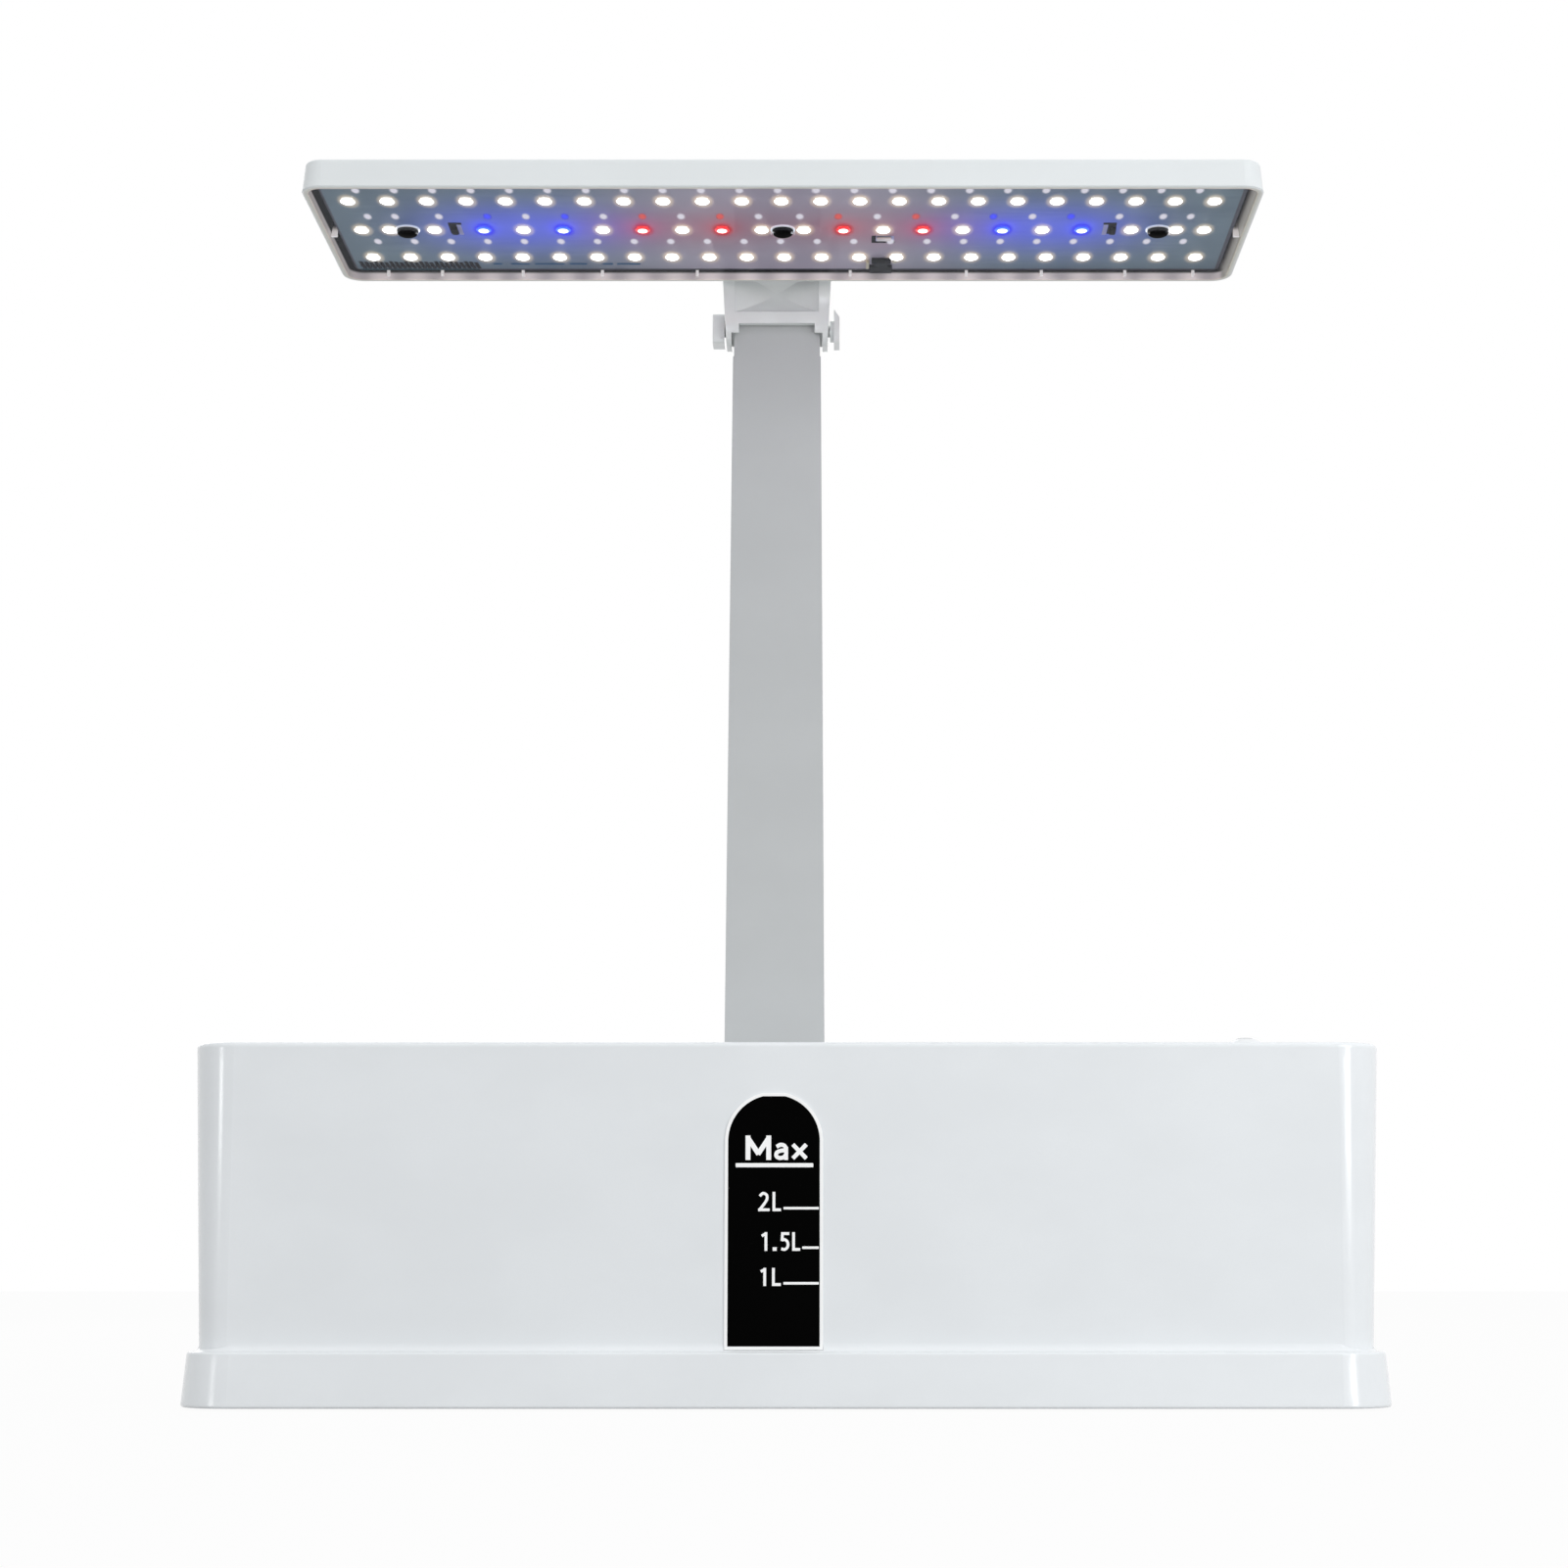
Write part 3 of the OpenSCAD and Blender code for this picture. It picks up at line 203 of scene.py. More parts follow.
# spark-eroded texture: a matt, close grain
def grainedPlastic(name, colour, rough=0.5):
    made = Finish(name)
    grain, depth, drift = 0.5, 0.02, 0.03
    cells = made.node("ShaderNodeTexVoronoi", {"feature": "SMOOTH_F1"},
                      {"Vector": made.place, "Scale": 1 / (grain * mm), "Smoothness": 0.6},
                      out="Distance")
    broad = made.noise(24, detail=3)
    tone = made.mix(made.ramp(broad, 0.3, 0.7), shade(colour, 1 - drift), shade(colour, 1 + drift))
    tone = made.mix(made.ramp(cells, 0.2, 0.8) * 0.35, tone, shade(colour, 0.92))
    return made.surface(
        {"Base Color": tone, "Roughness": rough + (broad - 0.5) * 0.14},
        [(cells, depth), (made.noise(grain * 5, detail=2), depth * 0.5)])


def softRubber(name, colour, rough=0.62, depth=0.012, specular=0.5):
    made = Finish(name)
    dust = made.noise(0.9, detail=5, rough=0.7)
    broad = made.noise(11, detail=3)
    tone = made.mix(made.ramp(dust, 0.5, 0.82) * 0.3, colour, shade(colour, 1.7))
    tone = made.mix(made.ramp(broad, 0.35, 0.7) * 0.3, tone, shade(colour, 0.8))
    return made.surface({"Base Color": tone, "Roughness": rough + (dust - 0.5) * 0.2,
                         "Specular IOR Level": specular}, [(dust, depth)])


# drawn or turned metal: fine lines along one axis, and a few scratches; lit paints a glow on it as
# emission
def turnedMetal(name, colour, rough=0.3, metallic=1.0, specular=0.5, lit=0.0):
    made = Finish(name)
    grain = made.noise(0.5, detail=4, stretch=(1, 1, 14))
    spots = made.noise(2.4, detail=3)
    tone = made.mix(made.ramp(grain, 0.3, 0.7), shade(colour, 0.86), shade(colour, 1.06))
    tone = made.mix(made.ramp(spots, 0.6, 0.75) * 0.4, tone, shade(colour, 0.75))
    return made.surface(
        {"Base Color": tone, "Metallic": metallic, "Roughness": rough + (grain - 0.5) * 0.2,
         "Specular IOR Level": specular, "Emission Color": tone, "Emission Strength": lit},
        [(grain, 0.002)])


# blue-grey coated board: levelled varnish with faint ripples; its chips' light is painted on: a brighter
# middle, red and blue painted glow, painted shade at its outer edge
def boardFinish(name, look):
    made = Finish(name)
    ripple = made.noise(1.1, detail=2, stretch=(0.06, 1, 1))
    cloud = made.noise(30, detail=2)
    along, across, up = made.axes()
    tone = made.mix(made.ramp(cloud, 0.3, 0.7), look["dark"], look["light"])
    tone = made.mix(made.ramp(ripple, 0.3, 0.7) * 0.35, tone, look["ripple"])
    # painted light: the middle of the board is lightened to a warm tone, for the light of the white chips
    # on it
    middle = 1 - made.ramp(abs(along - lampMiddle.x), *look["spread"])
    tone = made.mix(middle * 0.8, tone, look["warm"])
    # painted shade: a dark band along the board's outer edge, where the gap to the housing lies in shadow
    x, y, wide, deep = look["outer"]
    outer = made.maths("MAXIMUM", made.ramp(abs(along - x), wide - 0.9 * mm, wide - 0.3 * mm),
                       made.ramp(abs(across - y), deep - 1.9 * mm, deep - 1.1 * mm))
    tone = made.mix(outer, tone, look["edge"])
    # painted light: round each red and blue chip the colour is tinted to the chip's colour and a painted
    # glow is added as emission
    glow = (0, 0, 0)
    for paintedGlow in look["paintedGlows"]:
        for spot in paintedGlow["spots"]:
            near = made.distance(spot, paintedGlow["squash"])
            fall = math.e ** (near * near * (-1 / paintedGlow["reach"] ** 2))
            tone = made.mix(fall * paintedGlow["paintedTint"], tone, shade(paintedGlow["colour"], 0.25))
            glow = made.mix(1.0, glow, made.mix(fall * paintedGlow["level"], (0, 0, 0), paintedGlow["colour"]), "ADD")
    return made.surface(
        {"Base Color": tone, "Metallic": 0.0, "Roughness": 0.42 + (ripple - 0.5) * 0.16,
         "Specular IOR Level": look["specular"], "Emission Color": glow, "Emission Strength": 1.0},
        [(ripple, 0.003)])


# lit package of a lamp chip: white-hot in the middle, its own colour at the rim, by the mesh's own map
def chipLight(name, core, rim, strength, width=(0.35, 0.9)):
    made = Finish(name)
    chart = made.node("ShaderNodeTexCoord", out="UV")
    split = made.node("ShaderNodeSeparateXYZ", None, {"Vector": chart})
    edge = made.ramp(split, *width)
    sparkle = made.noise(0.4, detail=2)
    tone = made.mix(edge, core, rim)
    return made.surface(
        {"Base Color": made.mix(sparkle, shade(rim, 0.9), rim), "Roughness": 0.2 + sparkle * 0.1,
         "Emission Color": tone, "Emission Strength": strength})


def clearSheet(name, look):
    made = Finish(name)
    haze = made.noise(18, detail=3)
    through = made.node("ShaderNodeBsdfTransparent", None, {"Color": look["tint"]})
    gloss = made.node("ShaderNodeBsdfGlossy", None,
                      {"Color": look["gleam"], "Roughness": 0.012 + made.ramp(haze, 0.4, 0.9) * 0.02})
    grazing = made.node("ShaderNodeFresnel", None, {"IOR": look["ior"]})
    both = made.node("ShaderNodeMixShader", None, {0: grazing * look["gain"], 1: through, 2: gloss})
    made.node("ShaderNodeOutputMaterial", None, {"Surface": both})
    return made.holder


lampMiddle = Vector((-3 * mm, -16 * mm, 390 * mm))       # middle of the board's pattern, on its underside
chipPitch = 13 * mm


def boardSpots(steps):
    return [lampMiddle + Vector((side * step * chipPitch, 0, 0)) for step in steps for side in (-1, 1)]


blueSteps, redSteps = (5.72, 7.79), (1.58, 3.65)         # places in the middle row, in pitches
# in boardLook, warm is the colour of the painted light of the white chips in the board's middle
boardLook = {"dark": rgb(92, 114, 124), "light": rgb(108, 130, 138), "ripple": rgb(82, 100, 110),
             "warm": rgb(202, 184, 196), "spread": (12 * mm, 85 * mm), "specular": 0.2,
             # edge is the colour of the painted shade along the board's outer edge
             "edge": rgb(34, 30, 44),
             "outer": (-2.5 * mm, -16 * mm, 151.5 * mm, 42.2 * mm),
             "paintedGlows": [{"colour": rgb(50, 60, 255), "spots": boardSpots(blueSteps), "reach": 21,
                         "squash": (0.9, 1, 0.2), "level": 0.32, "paintedTint": 0.25},
                        {"colour": rgb(50, 60, 255), "spots": boardSpots(blueSteps), "reach": 7,
                         "squash": (1.5, 1, 0.2), "level": 0.4, "paintedTint": 0.3},
                        {"colour": rgb(240, 40, 50), "spots": boardSpots(redSteps), "reach": 8,
                         "squash": (1.5, 1, 0.2), "level": 0.2, "paintedTint": 0.35},
                        {"colour": rgb(240, 40, 90), "spots": boardSpots(redSteps), "reach": 17,
                         "squash": (0.9, 1, 0.2), "level": 0.08, "paintedTint": 0.38}]}
lensLook = {"tint": rgb(250, 252, 255), "gleam": rgb(250, 250, 255), "ior": 1.49, "gain": 0.04}


# satin white moulding, with painted light and shade inside it: a painted lit strip below the board,
# painted darkness behind the board, ribs with painted highlights, and painted shade on the edge that is
# turned down to the floor
def lampShell(name, look):
    made = Finish(name)
    along, across, up = made.axes()
    wide, deep = look["inner"]
    round = look["round"]
    backRib, sideRib = look["ribs"]
    sideways = abs(along - look["middle"][0])
    endways = abs(across - look["middle"][1])
    past = [made.maths("MAXIMUM", sideways - (wide - round), 0.0),
            made.maths("MAXIMUM", endways - (deep - round), 0.0)]
    reach = (past[0] * past[0] + past[1] * past[1]) ** 0.5        # from the middle of a corner's round
    within = (1 - made.ramp(reach, round + 0.1 * mm, round + 0.5 * mm)) * (
        1 - made.ramp(up, look["roof"] + 0.2 * mm, look["roof"] + 0.8 * mm))
    leaning = reach + (up - look["rim"]) * look["lean"]
    onWall = made.ramp(leaning, round - 0.2 * mm, round - 0.1 * mm)
    # painted highlights: the ribs by the back and side walls get a pale colour and a painted glow
    nearBack = made.ramp(endways, deep - backRib, deep - backRib + 0.2 * mm)
    nearSide = made.ramp(sideways, wide - sideRib, wide - sideRib + 0.2 * mm)
    rib = (1 - onWall) * made.maths("MAXIMUM", nearSide, nearBack)
    rib = rib * (1 - made.ramp(up, *look["ribTop"]))
    fine = made.noise(0.55, detail=2)
    flow = made.noise(38, detail=3, stretch=(1, 1, 1.6))
    tone = made.mix(made.ramp(flow, 0.3, 0.7), shade(look["colour"], 0.98), look["colour"])
    tone = made.mix(made.ramp(fine, 0.35, 0.75) * 0.25, tone, shade(look["colour"], 0.97))
    # painted shade: the edge turned down to the floor is darker and olive, lighter towards its outside
    turned = 1 - made.ramp(up, look["rim"] + 0.01 * mm, look["rim"] + 0.06 * mm)
    tone = made.mix(turned, tone, made.mix(made.ramp(reach, round, round + 2 * mm), look["turned"],
                                           look["turnedOut"]))
    # the two outer snap hooks get the painted darkness as well: they stand away from the walls, out to the
    # sides
    hooks = (1 - made.ramp(reach, 0.2 * mm, 1 * mm)) * made.ramp(sideways, *look["hooksFrom"])
    high = made.maths("MAXIMUM", hooks, made.ramp(up, *look["dark"]))
    # painted light and shade: below the board the inside wall is a painted lit strip, behind the board
    # painted darkness
    inside = made.mix(high, look["strip"], look["deep"])
    # painted shade and light on the side walls inside: on the right a grey-green with a painted glow
    # fading to darkness upwards, on the left the lit strip partly greyed
    right = made.ramp(along, -20 * mm, 20 * mm)             # the right half of the lamp
    fading = (1 - made.ramp(up, *look["fade"])) * right
    sides = made.ramp(sideways, wide - 2.3 * mm, wide - 0.1 * mm)
    outer = sides * (fading + (1 - right) * (1 - high) * look["leftSide"])
    inside = made.mix(outer, inside, look["side"])
    inside = made.mix(rib, inside, look["rib"])
    # painted shade: the area deep behind the board is made dark through Metallic on a near-black base and
    # higher roughness
    paintedDarkness = within * high * (1 - outer) * (1 - rib)        # deep behind the board
    tone = made.mix(within, tone, inside)
    # painted light: scallops of glow at the pitch of the chips, given as emission
    wave = made.maths("COSINE", (along - lampMiddle.x) * (2 * math.pi / chipPitch)) * 0.5 + 0.5
    lit = (1 - high) * (1 - outer) * (wave * 0.7 + 0.3) * look["glow"]
    edge = sides * fading * look["sideGlow"]
    lit = made.maths("MAXIMUM", lit, made.maths("MAXIMUM", rib * look["ribGlow"], edge))
    glow = made.mix(lit * within, (0, 0, 0), look["lit"])
    return made.surface(
        {"Base Color": tone, "Roughness": 0.36 + (fine - 0.5) * 0.08 + within * high * 0.5,
         "Metallic": paintedDarkness, "Emission Color": glow, "Emission Strength": 1.0},
        [(made.noise(1.6, detail=1), 0.004), (made.noise(9, detail=1), 0.016)])


shellLook = {"colour": rgb(226, 231, 233), "middle": (-2.2 * mm, -16 * mm),
             "inner": (154.5 * mm, 44 * mm), "round": 5 * mm, "lean": 0.116, "rim": 387.1 * mm,
             "roof": 395.1 * mm, "dark": (389 * mm, 390 * mm), "fade": (389.8 * mm, 394.4 * mm),
             "ribs": (2.4 * mm, 3.2 * mm), "ribTop": (390 * mm, 392 * mm),
             "hooksFrom": (60 * mm, 80 * mm),
             # painted light and shade colours: turned and turnedOut on the turned-down edge, strip lit by
             # the chips, side and deep shade, rib highlight, lit glow
             "turned": rgb(205, 207, 198), "turnedOut": rgb(240, 240, 238), "strip": rgb(205, 192, 192),
             "side": rgb(150, 156, 140), "deep": rgb(8, 8, 10), "rib": rgb(245, 242, 238),
             "lit": rgb(255, 238, 228), "glow": 0.32, "ribGlow": 0.3, "sideGlow": 0.19, "leftSide": 0.4}

finishes = {
    "white_shell": mouldedPlastic("glossy white shell", rgb(232, 236, 239), rough=0.2, coat=0.3),
    "white_trim": mouldedPlastic("white print", rgb(253, 254, 254), rough=0.5, drift=0.01),
    "white_deck": mouldedPlastic("satin white deck", rgb(226, 230, 233), rough=0.52, specular=0.15),
    "white_lamp": lampShell("satin white lamp shell", shellLook),
    "white_button": mouldedPlastic("glossy white cap", rgb(235, 238, 240), rough=0.18, coat=0.4),
    "white_inner": grainedPlastic("plain white inner moulding", rgb(228, 230, 230)),
    "smoked_panel": mouldedPlastic("smoked gauge panel", rgb(2, 2, 2), rough=0.3, specular=0.015,
                                   drift=0.3),
    "grey_seal": softRubber("grey silicone", rgb(172, 174, 176), rough=0.5),
    "black_rubber": softRubber("matt black rubber", rgb(9, 9, 10), specular=0.1),
    "circuit_board": mouldedPlastic("green solder mask", rgb(22, 92, 48), rough=0.3, drift=0.12),
    "black_plastic": grainedPlastic("fine textured black", rgb(30, 30, 32), rough=0.46),
    "steel_screws": turnedMetal("plated steel", rgb(206, 206, 209), rough=0.26),
    "black_screws": turnedMetal("black oxide steel", rgb(3, 3, 4), rough=0.6, metallic=0.0,
                                specular=0.03),
    # painted highlight: the washers glow through emission, for the glint of light on them
    "bright_washers": turnedMetal("washer with painted glint", rgb(240, 240, 245), rough=0.16, lit=0.6),
    "black_lead": softRubber("black sheathed wire", rgb(24, 24, 26), rough=0.45),
    "grey_inner": grainedPlastic("plain grey inner moulding", rgb(200, 202, 203)),
    "grey_post": mouldedPlastic("satin light grey post", rgb(191, 194, 195), rough=0.38),
    "grey_hinge": mouldedPlastic("glossy light grey hinge", rgb(236, 239, 239), rough=0.16, coat=0.3),
    "led_board": boardFinish("coated lamp board", boardLook),
    "led_white": chipLight("warm white chip", rgb(255, 250, 238), rgb(255, 226, 168), 1.2),
    "led_red": chipLight("deep red chip", rgb(255, 60, 60), rgb(220, 10, 20), 1.0),
    "led_blue": chipLight("royal blue chip", rgb(40, 90, 255), rgb(20, 20, 235), 1.0),
    "clear_lens": clearSheet("clear lamp window", lensLook),
    "net_basket": grainedPlastic("plain basket moulding", rgb(226, 228, 228), rough=0.42),
    "grow_sponge": softRubber("pressed peat sponge", rgb(70, 46, 30), rough=0.9, depth=0.2),
}
for part in nodes.values():
    for socket in part.material_slots:
        socket.material = finishes[socket.material.name.split(".")[0]]
print("finishes on", len(nodes), "nodes")


# every separate closed piece of a node, as its lowest and highest corner
def islands(node):
    mesh = bmesh.new()
    mesh.from_mesh(nodes[node].data)
    bmesh.ops.remove_doubles(mesh, verts=mesh.verts, dist=0.001 * mm)
    waiting = set(mesh.verts)
    found = []
    while waiting:
        edge = [waiting.pop()]
        group = list(edge)
        while edge:
            vert = edge.pop()
            for link in vert.link_edges:
                other = link.other_vert(vert)
                if other in waiting:
                    waiting.remove(other)
                    edge.append(other)
                    group.append(other)
        low = Vector([min(vert.co[axis] for vert in group) for axis in range(3)])
        high = Vector([max(vert.co[axis] for vert in group) for axis in range(3)])
        found.append((low, high))
    mesh.free()
    return sorted(found, key=lambda box: tuple(box[0]))


# a finished piece from a bmesh: smooth faces, sharp where they meet at more than the crease
def newPiece(name, mesh, body, slot, finish=None, crease=35, keepNormals=False):
    data = bpy.data.meshes.new(name)
    if not keepNormals:
        bmesh.ops.recalc_face_normals(mesh, faces=mesh.faces)
    mesh.to_mesh(data)
    mesh.free()
    data.shade_smooth()
    data.set_sharp_from_angle(angle=math.radians(crease))
    piece = bpy.data.objects.new(name, data)
    bpy.context.scene.collection.objects.link(piece)
    data.materials.append(finish or finishes[slot])
    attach(piece, body)
    return piece


# rings of (radius, height) turned round the Z axis of a placing matrix
def lathe(mesh, profile, place, sides=48):
    rings = []
    angles = [2 * math.pi * turn / sides for turn in range(sides)]
    for radius, height in profile:
        turned = angles if radius > 1e-7 else angles[:1]
        rings.append([mesh.verts.new(place @ Vector((radius * math.cos(angle), radius * math.sin(angle),
                                                     height))) for angle in turned])
    for lower, upper in zip(rings, rings[1:]):
        for turn in range(sides):
            after = (turn + 1) % sides
            if len(lower) == 1 and len(upper) == 1:
                break
            if len(lower) == 1:
                mesh.faces.new((lower[0], upper[after], upper[turn]))
            elif len(upper) == 1:
                mesh.faces.new((lower[turn], lower[after], upper[0]))
            else:
                mesh.faces.new((lower[turn], lower[after], upper[after], upper[turn]))
    return rings


# a block between two corners with its edges rounded
def block(mesh, low, high, round):
    made = bmesh.ops.create_cube(mesh, size=1)["verts"]
    size = Vector(high) - Vector(low)
    middle = (Vector(high) + Vector(low)) / 2
    for vert in made:
        vert.co = Vector([vert.co[axis] * size[axis] + middle[axis] for axis in range(3)])
    edges = list(dict.fromkeys(edge for vert in made for edge in vert.link_edges))
    bmesh.ops.bevel(mesh, geom=edges, offset=round, segments=2, profile=0.5, affect="EDGES")


sunk = -0.02                     # millimetres that the underside of a print lies in what carries it


# a flat outline pushed out between two heights along Z of a placing function
def slab(mesh, outline, lower, upper, place):
    bottom = [mesh.verts.new(place(x, y, lower)) for x, y in outline]
    top = [mesh.verts.new(place(x, y, upper)) for x, y in outline]
    mesh.faces.new(bottom[::-1])
    mesh.faces.new(top)
    for first in range(len(outline)):
        second = (first + 1) % len(outline)
        mesh.faces.new((bottom[first], bottom[second], top[second], top[first]))


def cutWith(mesh, cutter):
    objects = []
    for source in (mesh, cutter):
        bmesh.ops.recalc_face_normals(source, faces=source.faces)
        data = bpy.data.meshes.new("work")
        source.to_mesh(data)
        source.free()
        objects.append(bpy.data.objects.new("work", data))
        bpy.context.scene.collection.objects.link(objects[-1])
    body, tool = objects
    cut = body.modifiers.new("cut", "BOOLEAN")
    cut.object = tool
    cut.operation = "DIFFERENCE"
    cut.solver = "EXACT"
    result = bmesh.new()
    result.from_mesh(body.evaluated_get(bpy.context.evaluated_depsgraph_get()).data)
    for spent in objects:
        data = spent.data
        bpy.data.objects.remove(spent)
        bpy.data.meshes.remove(data)
    return result


# pan head below the seat at the origin, cross recess, threaded shank above
def makeScrew(look):
    head, tall, shank, length = (look[key] * mm for key in ("head", "tall", "shank", "length"))
    pitch = look["pitch"] * mm
    mesh = bmesh.new()
    angles = [math.radians(angle) for angle in (14, 28, 42, 56, 70, 82)]
    dome = [(0, -tall)] + [(head * math.sin(angle) * 0.96, -tall + tall * 0.62 * (1 - math.cos(angle)))
                           for angle in angles]
    side = [(head, -tall * 0.3), (head, -0.06 * mm), (head - 0.06 * mm, 0), (0, 0)]
    lathe(mesh, dome + side, Matrix.Identity(4), 56)
    cross = bmesh.new()
    wide, deep = head * look["recess"], tall * 0.62
    for turn in (0, 1):
        arm = (wide, head * 0.13) if turn == 0 else (head * 0.13, wide)
        taper = 0.72
        corners = [(-1, -1), (1, -1), (1, 1), (-1, 1)]
        outer = [cross.verts.new((x * arm[0], y * arm[1], -tall - 0.1 * mm)) for x, y in corners]
        inner = [cross.verts.new((x * arm[0] * taper, y * arm[1] * taper, -tall + deep))
                 for x, y in corners]
        cross.faces.new(outer)
        cross.faces.new(inner[::-1])
        for first in range(4):
            second = (first + 1) % 4
            cross.faces.new((outer[first], inner[first], inner[second], outer[second]))
    mesh = cutWith(mesh, cross)
    turns, steps, sides = length / pitch, 8, 24
    rings = []
    for level in range(int(turns * steps) + 1):
        height = level * pitch / steps
        ring = []
        for turn in range(sides):
            phase = (height / pitch - turn / sides) % 1
            crest = max(0.0, 1 - abs(phase - 0.5) * 3.2)
            taper = min(1.0, (length - height) / (pitch * 1.4) + 0.15)
            radius = shank * (0.8 + 0.2 * crest) * taper
            angle = 2 * math.pi * turn / sides
            ring.append(mesh.verts.new((radius * math.cos(angle), radius * math.sin(angle), height)))
        rings.append(ring)
    for lower, upper in zip(rings, rings[1:]):
        for turn in range(sides):
            after = (turn + 1) % sides
            mesh.faces.new((lower[turn], lower[after], upper[after], upper[turn]))
    mesh.faces.new(rings[0][::-1])
    mesh.faces.new(rings[-1])
    return mesh


screwSets = [
    {"node": "board_screws", "body": "lamp_unit", "slot": "black_screws", "axis": (0, 0, 1), "twist": 20,
     "head": 3.6, "tall": 2.4, "shank": 1.2, "length": 4, "pitch": 0.7, "recess": 0.5},
    {"node": "box_screws", "body": "deck_unit", "slot": "steel_screws", "axis": (0, 0, 1), "twist": 35,
     "head": 2.2, "tall": 1.4, "shank": 0.95, "length": 7, "pitch": 0.7, "recess": 0.55},
    {"node": "post_screws", "body": "deck_unit", "slot": "steel_screws", "axis": (0, -1, 0), "twist": 10,
     "head": 2.1, "tall": 1.2, "shank": 0.9, "length": 6, "pitch": 0.7, "recess": 0.55},
    {"node": "post_screws", "body": "deck_unit", "slot": "steel_screws", "axis": (0, 0, 1), "twist": 50,
     "head": 2.8, "tall": 1.8, "shank": 1.1, "length": 8.5, "pitch": 0.8, "recess": 0.55},
    {"node": "yoke_screws", "body": "lamp_unit", "slot": "steel_screws", "axis": (0, 0, -1), "twist": 28,
     "head": 2.6, "tall": 1.5, "shank": 1.1, "length": 5.5, "pitch": 0.8, "recess": 0.55},
]
for order, look in enumerate(screwSets):
    pattern = makeScrew(look)
    shape = bpy.data.meshes.new("work")
    pattern.to_mesh(shape)
    pattern.free()
    axis = Vector(look["axis"])
    mesh = bmesh.new()
    for number, (low, high) in enumerate(islands(look["node"])):
        size = high - low
        long = max(range(3), key=lambda side: abs(axis[side]))
        if abs(size[long] - (look["tall"] + look["length"]) * mm) > 0.3 * mm:
            continue                     # belongs to another set of this node
        seat = (low + high) / 2
        end = low[long] if axis[long] > 0 else high[long]
        seat[long] = end + axis[long] * look["tall"] * mm
        turn = Matrix.Rotation(math.radians(look["twist"] + 41 * number), 4, "Z")
        place = Matrix.Translation(seat) @ axis.to_track_quat("Z", "Y").to_matrix().to_4x4() @ turn
        copy = bmesh.new()
        copy.from_mesh(shape)
        copy.transform(place)
        work = bpy.data.meshes.new("work")
        copy.to_mesh(work)
        copy.free()
        mesh.from_mesh(work)
        bpy.data.meshes.remove(work)
    bpy.data.meshes.remove(shape)
    screws = newPiece(f"{look['node']}_{order}", mesh, look["body"], look["slot"])
    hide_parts(look["node"])
print("screws done")


chipLooks = [
    {"node": "led_chips_white", "slot": "led_white", "core": rgb(255, 255, 252), "rim": rgb(250, 232, 204),
     "strength": 9, "halo": rgb(255, 232, 206), "haloLevel": 0.5, "echo": rgb(226, 220, 226),
     "width": (0.72, 0.98), "hot": rgb(255, 253, 246)},
    {"node": "led_chips_red", "slot": "led_red", "core": rgb(255, 255, 240), "rim": rgb(244, 26, 30),
     "strength": 3.5, "halo": rgb(215, 45, 50), "haloLevel": 0.6, "echo": rgb(222, 92, 84),
     "width": (0.5, 0.74), "hot": rgb(240, 30, 34)},
    {"node": "led_chips_blue", "slot": "led_blue", "core": rgb(252, 255, 255), "rim": rgb(60, 110, 255),
     "strength": 3.5, "halo": rgb(66, 66, 250), "haloLevel": 0.8, "echo": rgb(76, 84, 252),
     "width": (0.45, 0.8), "hot": rgb(70, 78, 255)},
]
chipShape = {"radius": (2.5, 3.0), "drop": 0.45, "sides": 24, "haloRadius": (4.4, 7.4), "haloBack": 1.7,
             "hot": 0.55, "echoRadius": (1.75, 3.6), "echoBack": (11.1, 2.9), "echoShrink": 0.966,
             "echoShift": -1.1}


# rings from the middle outwards, each given as (part of the radius, height); the map holds the part
def discInto(mesh, chart, middle, radius, profile, sides, closed=False):
    rings = []
    for part, level in profile:
        count = sides if part else 1
        rings.append([mesh.verts.new((middle[0] + radius[0] * part * math.cos(2 * math.pi * turn / sides),
                                      middle[1] + radius[1] * part * math.sin(2 * math.pi * turn / sides),
                                      level)) for turn in range(count)])
    made = []
    for (inner, outer), (near, far) in zip(zip(rings, rings[1:]), zip(profile, profile[1:])):
        for turn in range(sides):
            after = (turn + 1) % sides
            if len(inner) == 1:
                corners = [(inner[0], near[0]), (outer[after], far[0]), (outer[turn], far[0])]
            else:
                corners = [(inner[turn], near[0]), (inner[after], near[0]),
                           (outer[after], far[0]), (outer[turn], far[0])]
            face = mesh.faces.new([corner[0] for corner in corners])
            made.append((face, [corner[1] for corner in corners]))
    if closed:
        made.append((mesh.faces.new(rings[-1]), [1.0] * sides))
    for face, parts in made:
        for loop, part in zip(face.loops, parts):
            loop[chart].uv = (part, 0)


# painted light on the board: a soft round patch of emission, with a solid middle of its own colour if
# asked
def patchLight(name, colour, level, solid, hot=None):
    made = Finish(name)
    chart = made.node("ShaderNodeTexCoord", out="UV")
    spread = made.node("ShaderNodeSeparateXYZ", None, {"Vector": chart})
    grain = made.noise(0.8, detail=2)
    tone = made.mix(grain, colour, shade(colour, 0.94))
    seen = (1 - made.ramp(spread, solid, 1.0)) * level
    if hot:
        middle = 1 - made.ramp(spread, chipShape["hot"] - 0.06, chipShape["hot"] + 0.06)
        tone = made.mix(middle, tone, hot)
        seen = made.maths("MAXIMUM", seen, middle)
    through = made.node("ShaderNodeBsdfTransparent")
    light = made.node("ShaderNodeEmission", None, {"Color": tone, "Strength": 1.0})
    both = made.node("ShaderNodeMixShader", None, {0: seen, 1: through, 2: light})
    made.node("ShaderNodeOutputMaterial", None, {"Surface": both})
    return made.holder
